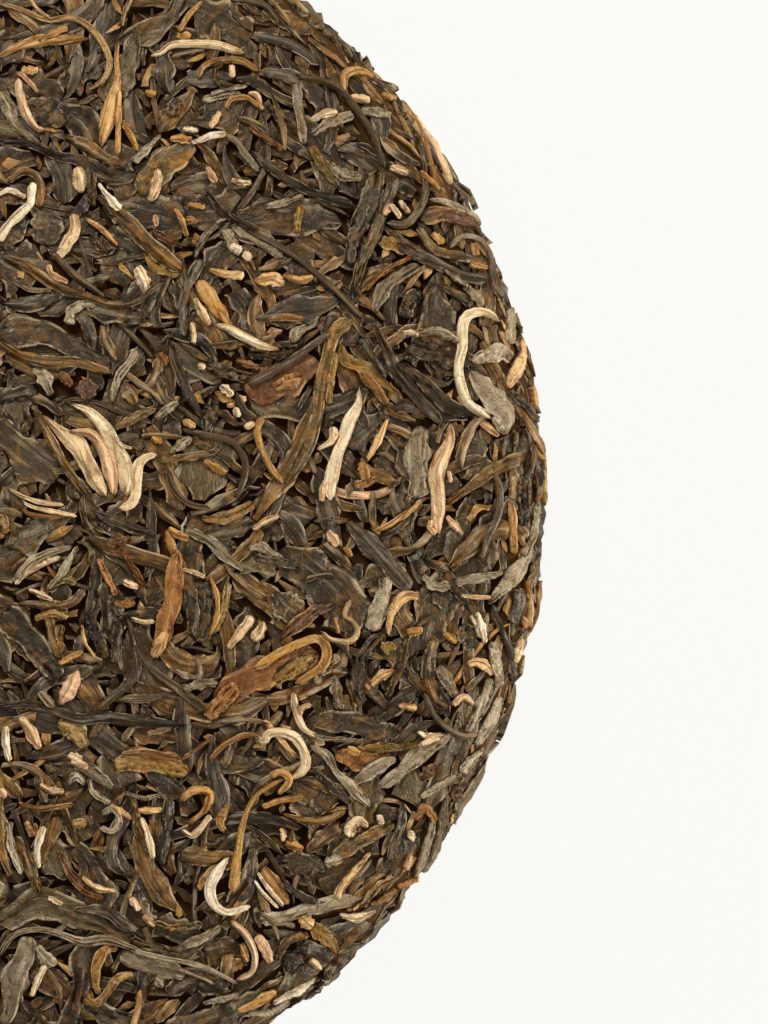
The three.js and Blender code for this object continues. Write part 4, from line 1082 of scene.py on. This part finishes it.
# Golden leaves
# Small ochre leaves, cut ends and bud scales, rolled up and dried to gold. They are pressed in all over
# the cake.
GOLDEN = ROLLED | dict(
    name="golden_leaves", slot="golden_leaf", seed=12, count=560, length=(3, 12), width=(0.8, 2.0),
    thick=(0.6, 1.0), stations=12, points=5, layer=(0.05, 1.0), told_apart=0.55,
    tones=[(124, 86, 40), (152, 104, 44), (182, 130, 58), (202, 152, 86), (226, 180, 122)],
    furrow_tone=(84, 46, 12), ridge_tone=(232, 198, 146), stain_tone=(120, 78, 34), shares=(0.5, 0.5, 0.4),
    in_view={
        "ochre strip at the left": ((4, 8, 12, 9, 3), 0.3, (0, 59), (16, 50), (37, 43), (63, 41),
            (90, 40)),
        "its tongue": ((3, 7, 6), 0.45, (40, 43), (55, 35), (69, 29)),
        "orange chip": ((7, 9, 6), 0.8, (23, 72), (31, 72), (40, 72)),
        "long golden leaf": ((3, 5, 7, 13, 16, 12, 4), 0.75, (119, 42), (118, 58), (119, 76), (117, 92),
            (112, 108), (108, 126), (103, 148)),
        "its thin twin": ((4, 6, 5), 0.7, (121, 92), (120, 120), (119, 156)),
        "golden tongue": ((6, 7, 4), 0.6, (121, 122), (130, 132), (139, 153)),
        "yellow crumb": ((6, 8, 5), 0.4, (146, 94), (151, 95), (157, 96)),
        "ochre chips at the top": ((6, 9, 6), 0.5, (178, 36), (184, 37), (192, 37)),
        "brown-ochre arc": ((4, 7, 7, 5), 0.15, (199, 80), (205, 67), (221, 61), (242, 62), (259, 72)),
        "ochre loop": ((4, 5, 4), 0.4, (226, 110), (232, 101), (247, 99), (260, 108)),
        "ochre bean by the curve": ((5, 9, 8), 0.4, (171, 140), (181, 140), (193, 142)),
        "ochre edge below the disc": ((3, 6, 4), 0.8, (88, 220), (105, 232), (119, 247)),
        "ochre splinter": ((4, 6, 4), 0.6, (176, 210), (183, 222), (188, 238)),
        "second splinter": ((5, 7, 4), 0.5, (187, 219), (192, 221), (199, 223)),
        "third splinter": ((4, 6, 4), 0.5, (189, 206), (197, 207), (206, 209)),
        "ochre stripes": ((5, 8, 6), 0, (362, 77), (373, 92), (383, 103)),
        "orange chip at the rim": ((4, 6, 4), 0.5, (383, 94), (389, 96), (397, 98)),
        "brown rim strip": ((4, 7, 6, 5), 0.1, (403, 99), (420, 126), (431, 160), (439, 187)),
        "golden rim strip": ((4, 6, 4), 0.6, (421, 171), (430, 180), (440, 190)),
        "almond": ((3, 13, 15, 7), 0.9, (255, 281), (264, 281), (274, 280), (285, 285)),
        "second almond": ((4, 9, 5), 0.7, (284, 276), (299, 281), (314, 278)),
        "ochre patch at the rim": ((6, 9, 6), 0.45, (432, 234), (439, 238), (446, 243)),
        "ochre bit": ((4, 7, 5), 0.35, (474, 243), (476, 249), (477, 256)),
        "ochre bit beside it": ((4, 6, 4), 0.4, (470, 265), (479, 266), (488, 268)),
        "orange bud": ((4, 9, 9), 0.9, (210, 270), (226, 275), (245, 277)),
        "buff striped leaf": ((12, 17, 13, 5), 0.5, (200, 281), (209, 296), (221, 313), (233, 328)),
        "small orange strip": ((5, 8, 6), 0.5, (205, 461), (216, 468), (227, 474)),
        "ochre seed": ((5, 8, 5), 0.6, (184, 421), (190, 424), (197, 427)),
        "ochre grain": ((5, 7, 5), 0.5, (153, 438), (158, 440), (164, 442)),
        "thin ochre leaf": ((3, 8, 5), 0.1, (268, 321), (284, 318), (304, 320)),
        "rim leaf, ochre": ((6, 12, 14, 6), 1, (524, 338), (525, 358), (514, 378), (509, 388)),
        "rim leaf, golden brown": ((5, 9, 9, 9, 7), 0.35, (521, 410), (534, 432), (545, 453),
            (547, 479), (547, 506)),
        "small rim leaf": ((5, 8, 6), 0.7, (534, 386), (536, 396), (537, 406)),
        "brown leaf with pale lines": ((8, 11, 6), 0.1, (363, 376), (375, 388), (388, 404)),
        "ochre star": ((7, 11, 7), 0.25, (361, 462), (364, 470), (367, 480)),
        "its arm": ((6, 9, 5), 0.15, (355, 485), (366, 483), (378, 479)),
        "ochre hook": ((3, 6, 6, 4), 0.6, (376, 530), (387, 526), (403, 516), (419, 504)),
        "ochre chip below": ((4, 6, 4), 0.4, (371, 520), (375, 527), (380, 534)),
        "ochre upright": ((5, 9, 8, 5), 0.35, (510, 500), (513, 515), (514, 532), (516, 555)),
        "round ochre leaf": ((5, 7, 5), 0.6, (468, 521), (478, 508), (490, 508)),
        "yellow crumb in the middle": ((5, 7, 5), 0.5, (345, 547), (348, 551), (351, 557)),
        "ochre foot of the red leaf": ((8, 12, 8), 0.8, (167, 631), (162, 643), (155, 657)),
        "orange bit at the top": ((5, 9, 6), 0.6, (170, 528), (180, 535), (190, 539)),
        "golden edge": ((3, 5, 5, 3), 0.55, (211, 576), (218, 595), (218, 616), (211, 635)),
        "small ochre strip": ((4, 6, 4), 0.45, (61, 663), (72, 657), (85, 650)),
        "ochre line": ((3, 4, 3), 0.7, (84, 624), (87, 642), (97, 656)),
        "orange-brown strip": ((5, 9, 9, 5), 0, (123, 753), (147, 752), (165, 755), (180, 758)),
        "thin ochre line": ((3, 4, 3), 0, (182, 759), (195, 750), (212, 738)),
        "dark and ochre line": ((4, 6, 4), 0.3, (211, 759), (224, 745), (243, 735), (260, 734)),
        "rolled rim of the red leaf": ((7, 9, 8, 9, 10, 8, 7), 0.42, (256, 668), (279, 653), (303, 641),
            (319, 638), (327, 648), (322, 666), (296, 683)),
        "golden hook": ((8, 10, 10, 7, 4), 0.95, (420, 597), (408, 595), (398, 603), (391, 616),
            (389, 635)),
        "yellow stick": ((3, 4, 3), 0.5, (335, 617), (337, 625), (339, 633)),
        "orange cut end": ((4, 11, 6), 0.85, (371, 685), (382, 675), (396, 671)),
        "ochre block": ((6, 9, 7), 0.4, (407, 632), (415, 631), (423, 629)),
        "golden chip": ((5, 8, 6), 0.9, (399, 705), (408, 706), (417, 708)),
        "ochre bean": ((5, 11, 10, 6), 1, (468, 664), (477, 662), (487, 666), (495, 675)),
        "golden chip by the arc": ((5, 8, 5), 0.5, (444, 633), (450, 637), (457, 642)),
        "golden rim strip low down": ((4, 7, 7, 4), 0.15, (527, 581), (532, 601), (532, 627)),
        "yellow rim chip": ((5, 9, 6), 0.6, (523, 617), (526, 622), (527, 628)),
        "bright middle of the brown leaf": ((6, 9, 6), 0.6, (348, 747), (353, 750), (360, 753)),
        "amber curl": ((5, 7, 7, 5), 0.6, (271, 775), (281, 771), (290, 779), (279, 793)),
        "orange cross strip": ((5, 7, 6), 0.6, (263, 806), (279, 800), (304, 796)),
        "tan plate": ((10, 17, 14, 6), 0.2, (263, 868), (276, 886), (290, 903)),
        "orange bean": ((6, 10, 6), 0.5, (286, 843), (295, 845), (304, 848)),
        "ochre prong": ((3, 6, 8, 9), 1, (371, 852), (355, 871), (343, 885), (337, 898)),
        "thin amber strip": ((3, 5, 9, 4), 0, (284, 813), (305, 819), (326, 819), (346, 810)),
        "peach end of the olive leaf": ((9, 15, 12), 1, (300, 916), (306, 920), (314, 926)),
        "yellow strip at the foot": ((4, 7, 5), 0.6, (242, 943), (245, 951), (248, 961)),
        "orange flat leaf": ((3, 9, 10, 7), 0.6, (238, 1011), (252, 1005), (265, 998), (277, 991)),
        "ochre curve": ((9, 12, 10, 8, 5), 0.45, (119, 946), (106, 949), (98, 964), (97, 982),
            (101, 993)),
        "tip of the brown curl": ((5, 7, 4), 0.8, (134, 973), (127, 974), (119, 978)),
        "golden upright": ((5, 7, 5), 1, (28, 820), (31, 826), (34, 836)),
        "its twin": ((3, 5, 3), 0.4, (37, 822), (38, 829), (38, 838)),
        "ochre arrow": ((4, 8, 4), 0.95, (111, 804), (121, 810), (133, 818)),
        "ochre cross strip": ((5, 7, 5), 0.9, (139, 809), (151, 809), (164, 808)),
        "amber hook": ((6, 9, 9, 6, 5), 0.6, (182, 799), (195, 789), (211, 792), (206, 809),
            (189, 823)),
        "orange leaf": ((4, 9, 6), 0.45, (229, 804), (221, 820), (225, 830)),
        "ochre line at the left": ((4, 6, 4), 0, (21, 802), (42, 807), (75, 803)),
        "orange side of the crescent": ((6, 10, 6), 0.2, (199, 888), (211, 872), (227, 862)),
        "ochre strip in the rim": ((5, 8, 5), 0, (371, 905), (383, 900), (398, 891)),
    })
MAT.append(GOLDEN)

# Silver leaves
# Woolly grey-beige leaves, matt from the down on them, a little crumpled and pressed in among the
# strips.
SILVER = FLAT | dict(
    name="silver_leaves", slot="silver_leaf", seed=13, count=300, length=(5, 16), width=(1.3, 3.6),
    thick=(0.6, 1.0), stations=11, points=7, crumple=0.6, layer=(0.1, 1.0), told_apart=0.8,
    tones=[(122, 105, 82), (136, 120, 94), (150, 133, 106), (162, 146, 118), (180, 162, 132)],
    furrow_tone=(64, 46, 28), ridge_tone=(222, 204, 172), stain_tone=(136, 98, 52), shares=(0.6, 0.4, 0.4),
    in_view={
        "grey strip at the left": ((12, 13, 12, 7, 5), 0.3, (0, 92), (10, 108), (17, 126), (33, 139),
            (43, 146)),
        "grey stalk by the ring": ((3, 5, 4), 0.5, (211, 96), (229, 89), (248, 87)),
        "olive-grey leaf below it": ((6, 9, 5), 0.2, (203, 101), (220, 97), (242, 94)),
        "grey end of the curve": ((6, 8, 7, 4), 0, (224, 135), (237, 142), (246, 156), (260, 172)),
        "pale grey leaf": ((8, 9, 5, 4), 0.9, (135, 163), (142, 157), (151, 147), (162, 136)),
        "grey ribbed bud": ((8, 12, 11, 8), 0.6, (227, 229), (230, 237), (234, 245), (238, 252)),
        "striped grey leaf": ((6, 14, 16, 8), 0.25, (232, 226), (245, 231), (264, 241), (284, 258)),
        "buff striated strip": ((9, 10, 7), 0.3, (297, 84), (300, 113), (305, 145)),
        "mauve stub": ((8, 10, 6), 0.7, (362, 110), (376, 112), (393, 114)),
        "grey striated strip": ((6, 12, 9), 0.5, (313, 136), (329, 123), (354, 116)),
        "mauve crumple at the top": ((6, 12, 8), 0.05, (329, 165), (345, 176), (363, 178)),
        "grey edge of the flat leaf": ((5, 7, 5), 0.2, (265, 208), (283, 204), (304, 196)),
        "striped leaf toward the rim": ((3, 7, 7, 5), 0.9, (429, 199), (450, 203), (474, 213),
            (485, 223)),
        "pale curl at the rim": ((3, 5, 4), 0.95, (445, 270), (458, 280), (469, 286)),
        "pale stripes beside it": ((5, 12, 10), 0.05, (466, 286), (475, 294), (485, 305)),
        "grey blade at the right": ((8, 14, 14, 8), 0, (374, 312), (383, 291), (398, 278), (419, 265)),
        "silver curl": ((10, 12, 8, 4), 0.9, (70, 325), (75, 311), (86, 305), (98, 307)),
        "olive-grey line": ((4, 5, 4), 0.1, (16, 282), (33, 291), (53, 291)),
        "grey twist": ((9, 9, 8, 7, 5), 0.6, (139, 350), (132, 363), (121, 376), (116, 392),
            (113, 403)),
        "grey-beige leaf": ((12, 15, 12, 6), 0.35, (39, 366), (47, 379), (53, 396)),
        "silver flat leaf": ((5, 10, 7), 0.8, (171, 453), (181, 446), (193, 438)),
        "grey crumple": ((6, 9, 6), 0.4, (157, 419), (167, 411), (180, 402)),
        "pale grey crumple": ((8, 11, 8), 0.5, (292, 343), (298, 333), (307, 328)),
        "buff end of the cream edge": ((6, 9, 10, 7), 0.3, (415, 334), (432, 332), (445, 334),
            (459, 342)),
        "pale leaf by the big hook": ((6, 17, 18, 12), 1, (474, 363), (487, 355), (503, 353),
            (514, 359)),
        "woolly leaf": ((8, 20, 25, 20, 8), 0.55, (471, 371), (484, 387), (499, 404), (510, 420),
            (504, 435)),
        "its white tail": ((6, 9, 5), 0.95, (494, 417), (499, 425), (504, 433)),
        "grey rim leaf": ((6, 10, 8), 0.9, (513, 307), (513, 326), (511, 343)),
        "leaf behind the peach bud": ((14, 23, 24, 16), 0.15, (421, 426), (418, 453), (418, 474),
            (418, 498)),
        "grey leaf in the middle": ((7, 11, 7), 0.4, (250, 547), (264, 548), (283, 560)),
        "grey leaf at the left": ((5, 8, 8, 4), 0.45, (18, 579), (31, 563), (53, 552), (75, 547)),
        "curved grey leaf": ((5, 8, 5), 0.8, (50, 589), (63, 574), (80, 546)),
        "mauve-grey strip": ((9, 12, 11, 4), 0.05, (187, 529), (208, 539), (226, 555), (246, 571)),
        "grey swirl": ((4, 6, 5, 4), 0.5, (173, 667), (188, 675), (202, 674), (198, 655)),
        "grey-green band": ((8, 11, 8), 0.25, (184, 689), (202, 683), (219, 682)),
        "grey seed": ((6, 11, 6), 0.2, (42, 690), (48, 697), (56, 706)),
        "pink-grey plate": ((11, 17, 18, 13), 0.95, (387, 577), (384, 594), (378, 613), (372, 631)),
        "grey leaf under the plate": ((8, 12, 8), 0.5, (340, 655), (327, 666), (315, 683)),
        "second grey leaf": ((8, 11, 8), 0, (336, 675), (337, 692), (341, 709)),
        "pale shoulder": ((6, 10, 8), 0.5, (423, 575), (435, 586), (451, 585)),
        "pale end of the blade": ((10, 10, 8, 4), 0.35, (456, 582), (472, 579), (489, 576), (504, 573)),
        "long blade leaf": ((8, 15, 16, 12, 4), 0.8, (537, 550), (524, 565), (511, 580), (500, 592),
            (489, 604)),
        "upper end of the blade": ((7, 9, 8), 0.9, (539, 505), (537, 530), (526, 557)),
        "striped leaf near the rim": ((8, 12, 9), 0.95, (493, 642), (498, 663), (503, 688)),
        "rim strip, outer": ((8, 14, 14, 7), 1, (503, 697), (494, 719), (486, 732), (478, 746)),
        "rim strip, inner": ((8, 12, 12, 6), 0.3, (493, 679), (483, 706), (476, 719), (468, 733)),
        "oval leaf": ((8, 14, 13, 8), 0.1, (440, 665), (445, 676), (451, 686), (456, 698)),
        "grey-brown strip": ((8, 14, 19, 17, 10, 5), 0.5, (381, 787), (395, 776), (410, 763), (424, 751),
            (444, 739), (459, 727)),
        "stem of the strip": ((5, 7, 5), 0.1, (461, 712), (460, 722), (456, 732)),
        "grey end of the sickle": ((6, 5, 5, 4), 0.6, (316, 736), (330, 738), (345, 739), (367, 742)),
        "silver twist": ((6, 9, 7, 10, 12, 6), 0.8, (311, 745), (327, 755), (337, 771), (351, 785),
            (363, 798), (371, 806)),
        "grey-green plate": ((5, 13, 14, 5), 0.35, (352, 785), (367, 773), (381, 765), (396, 757)),
        "beige triangle": ((10, 13, 8, 3), 0.95, (464, 774), (470, 765), (478, 757), (488, 749)),
        "pale strip by it": ((4, 7, 5), 0.7, (421, 797), (437, 787), (457, 776)),
        "pale crumple at the end": ((7, 11, 7), 0.9, (325, 862), (333, 860), (343, 857)),
        "grey blade": ((16, 11, 13, 17, 14, 2), 0.6, (261, 918), (285, 916), (309, 908), (331, 903),
            (347, 901), (367, 898)),
        "its tail": ((3, 6, 4), 0.6, (262, 912), (275, 920), (296, 925)),
        "pale leaf under the long one": ((4, 7, 5), 0.9, (249, 1013), (270, 1013), (290, 1002)),
        "rim strip low down": ((7, 11, 10, 5), 0.45, (418, 887), (424, 862), (431, 840), (437, 812)),
        "its neighbour": ((5, 8, 8, 5), 0.2, (429, 877), (438, 850), (444, 822), (446, 798)),
        "fold line": ((5, 6, 5, 6, 9, 10, 6, 4), 0.5, (0, 956), (15, 934), (38, 928), (60, 932),
            (84, 941), (106, 938), (126, 944), (148, 954)),
        "broad grey-olive leaf": ((14, 24, 26, 17, 12), 0.05, (33, 936), (25, 955), (17, 978),
            (12, 1004), (6, 1024)),
        "pinkish leaf": ((8, 14, 10), 0.9, (38, 945), (46, 955), (56, 965)),
        "grey bundle": ((14, 22, 22, 10), 0.15, (122, 953), (143, 960), (163, 967), (186, 974)),
        "pale lines of the bundle": ((4, 6, 6, 5, 5, 3), 0.85, (131, 949), (160, 956), (186, 961),
            (207, 967), (222, 974), (238, 983)),
        "second line of the bundle": ((3, 4, 4, 3), 0.2, (150, 962), (175, 967), (198, 975),
            (215, 983)),
        "grey pebble": ((5, 8, 5), 0.4, (156, 977), (160, 981), (164, 986)),
        "silver edge of the crumple": ((4, 7, 5), 0.5, (204, 1003), (222, 999), (240, 994)),
        "silver knot": ((5, 8, 5), 0.8, (70, 782), (78, 775), (87, 783)),
        "brown and cream leaf": ((10, 14, 11, 6), 0.1, (77, 762), (92, 769), (103, 777), (115, 787)),
        "grey stalk": ((4, 6, 5), 0.8, (91, 778), (95, 791), (112, 802)),
        "grey-green line": ((3, 5, 4), 0.3, (126, 791), (146, 797), (164, 793)),
        "grey curl": ((5, 7, 7, 6, 5), 0.2, (103, 813), (113, 808), (121, 818), (114, 830), (101, 826)),
        "grey upright at the left": ((6, 9, 6), 0, (11, 821), (14, 847), (24, 872)),
        "strip by the leaf's end": ((6, 10, 6), 0.15, (184, 945), (207, 935), (222, 926)),
    })
MAT.append(SILVER)

# Dark stalks
# Thin tough leaf stalks, round and satin. They bent in loops and bows instead of going flat, and lie
# over the leaves.
STALKS = ROLLED | dict(
    name="dark_stalks", slot="dark_stalk", seed=14, count=230, length=(10, 34), width=(0.7, 1.2),
    thick=(0.7, 1.1), stations=17, points=4, bend=0.6, hooked=2.0, tip=(0.4, 0.8), wobble=0.1,
    layer=(0.0, 0.6), sunk=0.4,
    tones=[(54, 42, 32), (66, 50, 36), (80, 62, 42), (98, 82, 60)],
    furrow_tone=(36, 24, 14), ridge_tone=(156, 128, 92), stain_tone=(96, 68, 38), shares=(0.45, 0.3, 0.4),
    in_view={
        "long stalk at the top right": ((6, 7, 7, 7, 6), 0.5, (300, 78), (318, 80), (335, 87),
            (350, 100), (362, 117), (374, 136), (380, 154), (385, 168)),
        "dark loop": ((5, 6, 7, 8, 8), 0.55, (419, 124), (424, 145), (427, 170), (426, 195), (418, 213),
            (405, 225), (387, 224)),
        "thin stalk to the fork": ((5, 6, 6, 7), 0.2, (205, 200), (252, 232), (284, 250), (307, 266),
            (340, 295), (362, 318)),
        "stalk from the left": ((9, 8, 7), 0.5, (250, 385), (284, 366), (308, 349), (331, 333)),
        "upper dark stalk": ((6, 8, 5), 0.8, (55, 254), (74, 274), (106, 298)),
        "dark loop at the rim": ((5, 6, 6, 6, 5), 0.9, (450, 249), (461, 237), (479, 239), (491, 255),
            (495, 284), (504, 298)),
        "brown loop by the orange": ((5, 7, 7, 7, 6, 5), 0.5, (184, 429), (211, 437), (232, 442),
            (245, 458), (245, 479), (237, 498)),
        "arc under it": ((5, 6, 6, 5), 0.8, (168, 468), (174, 487), (189, 503), (212, 509)),
        "bent grey stalk": ((5, 7, 7, 7, 5), 1, (494, 474), (500, 489), (498, 516), (488, 537),
            (482, 560)),
        "stalk down the left": ((5, 7, 8, 9, 10), 0.5, (129, 617), (139, 647), (153, 668), (179, 687),
            (206, 709)),
        "dark bow": ((7, 9, 9, 7), 0.1, (137, 645), (138, 672), (119, 692), (99, 709)),
        "curved brown stalk": ((4, 6, 6, 6, 5), 0.9, (424, 692), (434, 714), (448, 728), (464, 736),
            (478, 734)),
    })
MAT.append(STALKS)

# Golden stalks
# Stalks of young shoots, thinner and golden, with hooks at their ends. They lie over the leaves too,
# pressed into them where they cross.
GOLD_STALKS = ROLLED | dict(
    name="golden_stalks", slot="golden_stalk", seed=15, count=120, length=(7, 22), width=(0.6, 1.1),
    thick=(0.7, 1.1), stations=15, points=4, bend=0.6, hooked=2.2, tip=(0.4, 0.8), wobble=0.1,
    layer=(0.0, 0.8), sunk=0.4,
    tones=[(140, 102, 54), (178, 128, 56), (186, 144, 90), (200, 170, 124)],
    furrow_tone=(88, 58, 26), ridge_tone=(216, 178, 124), stain_tone=(110, 74, 36), shares=(0.5, 0.3, 0.4),
    in_view={
        "arc at the top left": ((4, 5, 6, 7, 7, 7, 6, 4), 0.75, (0, 5), (22, 11), (49, 21), (71, 19),
            (86, 25), (99, 38), (109, 55), (111, 68), (104, 82), (91, 91)),
        "splinter at the top edge": ((3, 4, 3), 0.9, (31, 0), (39, 11), (51, 20)),
        "buff stalk": ((4, 6, 5), 0.3, (203, 3), (190, 16), (180, 33)),
        "curl at the top right": ((6, 9, 8, 5), 0.4, (345, 90), (346, 75), (359, 70), (375, 76)),
        "wishbone": ((8, 8, 7, 7, 6), 0.5, (263, 417), (258, 432), (265, 455), (275, 473), (284, 483)),
        "amber stalk": ((4, 4, 5, 7, 9, 11), 0.35, (287, 778), (271, 784), (255, 797), (245, 818),
            (239, 848), (234, 890)),
        "squiggle": ((4, 5, 6, 6, 5, 5, 5), 0.9, (322, 631), (332, 639), (350, 641), (358, 632),
            (353, 621), (345, 615), (351, 599)),
    })
MAT.append(GOLD_STALKS)

# Crumbs
# Broken bits of all the leaves, dark to pale, that crumbled off as they were rolled and steamed. The
# press left them lying in the mat.
CRUMBS = FLAT | dict(
    name="leaf_crumbs", slot="brown_leaf", seed=16, count=4500, length=(1.6, 4.8), width=(0.5, 1.4),
    thick=(0.3, 0.6), stations=4, points=3, crumple=0.5, layer=(0, 1.4), sunk=1.1, least=0.12, rib=0.0,
    wobble=0.5, tip=(0.05, 0.6), raised=0,
    tones=[(54, 40, 25), (70, 54, 36), (86, 63, 37), (126, 93, 50), (172, 125, 62), (188, 142, 80),
           (208, 174, 124)],
    furrow_tone=(50, 34, 18), ridge_tone=(190, 160, 116), stain_tone=(116, 80, 42), shares=(0.4, 0.3, 0.4),
    in_view={})
MAT.append(CRUMBS)


# The leaves pressed to a mat
# The leaves of all kinds lie over and under each other, so they are laid together, from the top one
# down, each pressed against those over it. Then the leaves of each kind are joined to its piece.
def lay(grown):
    """Lays all leaves from the top one down, whatever their kinds."""
    order = sorted(
        (order, number, leaf)
        for number, kind in enumerate(grown)
        for leaf, order in enumerate(kind["order"]))
    for _, number, leaf in order:
        settle(grown[number], leaf)


def build(kind, parts):
    """Joins the parts of a kind's mat to one piece, in its material."""
    pieces = [joined_mesh(part) for part in parts]
    select_only(pieces[0])
    if len(pieces) > 1:
        pieces[1].select_set(True)
        bpy.ops.object.join()
    piece = pieces[0]
    piece.name = piece.data.name = kind["name"]
    piece.data.materials.append(leaf_material(kind))
    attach(piece, "root")
    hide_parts("tea_cake")


GROWN = [grow(kind, in_view) for kind in MAT for in_view in (True, False) if kind["in_view"] or not in_view]
lay(GROWN)
for kind in MAT:
    build(kind, [part for part in GROWN if part["name"] == kind["name"]])

# Crumbs in the gaps
# Longer dark crumbs that fell between the leaves and were pressed onto the mass. They fill what gaps
# the leaves leave, and no shadow in the mat is an empty hole.
GAP_STEP, GAP_CELLS = 3, 4  # cells along a block's side, and how many are open where there is a gap


def gaps():
    """The places that no leaf covers yet, as reach and angle, about a crumb apart."""
    reach, angle = [], []
    blocks = MAP_SIDE // GAP_STEP
    for side, over in enumerate(covered):
        still_open = (over >= OPEN_SKY)[: blocks * GAP_STEP, : blocks * GAP_STEP]
        still_open = still_open.reshape(blocks, GAP_STEP, blocks, GAP_STEP).sum(axis=(1, 3))
        x, y = ((place + 0.5) * GAP_STEP * CELL - MAP_REACH for place in np.nonzero(still_open >= GAP_CELLS))
        far = np.hypot(x, y)
        near = far < (RIM_REACH + BACK_FROM if side == 0 else REACH_END - RIM_REACH - BACK_FROM)
        reach.append(far[near] if side == 0 else REACH_END - far[near])
        angle.append(np.arctan2(y, x)[near])
    return np.concatenate(reach), np.concatenate(angle)


places = gaps()
GAP_CRUMBS = FLAT | dict(
    name="gap_crumbs", slot="brown_leaf", seed=17, count=len(places[0]), places=places,
    length=(2.6, 6.5), width=(1.1, 2.4), thick=(0.4, 0.7), stations=5, points=3, crumple=0.6, layer=(0, 1),
    sunk=1.1, rib=0.0, wobble=0.5, least=0.05, raised=0, tip=(0.05, 0.5),
    tones=[(44, 32, 20), (54, 41, 28), (62, 46, 27), (70, 51, 30), (98, 72, 40)],
    furrow_tone=(34, 20, 9), ridge_tone=(160, 134, 98), stain_tone=(116, 80, 42), shares=(0.4, 0.3, 0.4),
    in_view={})
crumbs = grow(GAP_CRUMBS, False)
lay([crumbs])
build(GAP_CRUMBS, [crumbs])

# Floor
# A plain pale table under the cake. It shines faintly by itself, as a lit studio table does, so the
# cake's soft shadow hardly shows on it.
FLOOR_SIZE, FLOOR_GAP = 6, 0.0002  # in metres
bpy.ops.mesh.primitive_plane_add(size=FLOOR_SIZE, location=(0, 0, -FLOOR_GAP))
floor = bpy.context.object
floor.name = "floor"
pale = bpy.data.materials.new("floor")
pale.use_nodes = True
floor_shader = pale.node_tree.nodes["Principled BSDF"].inputs
floor_shader["Base Color"].default_value = (0.015, 0.015, 0.015, 1)
floor_shader["Emission Color"].default_value = (1, 0.991, 0.955, 1)
floor_shader["Emission Strength"].default_value = 0.932
floor_shader["Roughness"].default_value = 0.9
floor.data.materials.append(pale)

# Light
# Even light from all round, with a soft lamp behind the cake and a low one at its right that brightens
# the rim there.
ALL_ROUND = 0.28  # how strong the even light is
BEHIND, AT_THE_RIGHT = ((-0.3, 0.9, 0.8), 13.9), ((1.1, -0.25, 0.35), 13.5)  # place in metres, and watts
LAMP_SIZE = 0.5  # in metres
world = bpy.data.worlds.new("studio")
bpy.context.scene.world = world
world.use_nodes = True
world.node_tree.nodes["Background"].inputs[0].default_value = (1, 0.985, 0.955, 1)
world.node_tree.nodes["Background"].inputs[1].default_value = ALL_ROUND
for place, energy in (BEHIND, AT_THE_RIGHT):
    bpy.ops.object.light_add(type="AREA", location=place)
    lamp = bpy.context.object
    lamp.data.size = LAMP_SIZE
    lamp.data.energy = energy
    lamp.data.color = (1, 0.985, 0.95)
    lamp.rotation_euler = (-Vector(place)).to_track_quat("-Z", "Y").to_euler()
bpy.context.scene.view_settings.view_transform = "Standard"

# Camera
# It looks straight down from far off, as in the photo, with the middle of the frame over the cake's
# right part. At the rim's height the frame shows as much as the photo does.
PHOTO_SIZE = (768, 1024)
CAMERA_HEIGHT = 2.2  # in metres
SENSOR = 36
aim_x = (PHOTO_SIZE[0] / 2 - PHOTO_MIDDLE[0]) / PHOTO_SCALE * MM
aim_y = (PHOTO_MIDDLE[1] - PHOTO_SIZE[1] / 2) / PHOTO_SCALE * MM
bpy.ops.object.camera_add(location=(aim_x, aim_y, CAMERA_HEIGHT))
camera = bpy.context.object
camera.rotation_euler = (0, 0, 0)
camera.data.sensor_fit = "AUTO"
camera.data.sensor_width = SENSOR
tall = PHOTO_SIZE[1] / PHOTO_SCALE * MM
camera.data.lens = SENSOR * (CAMERA_HEIGHT - RIM_HEIGHT * MM) / tall
bpy.context.scene.camera = camera
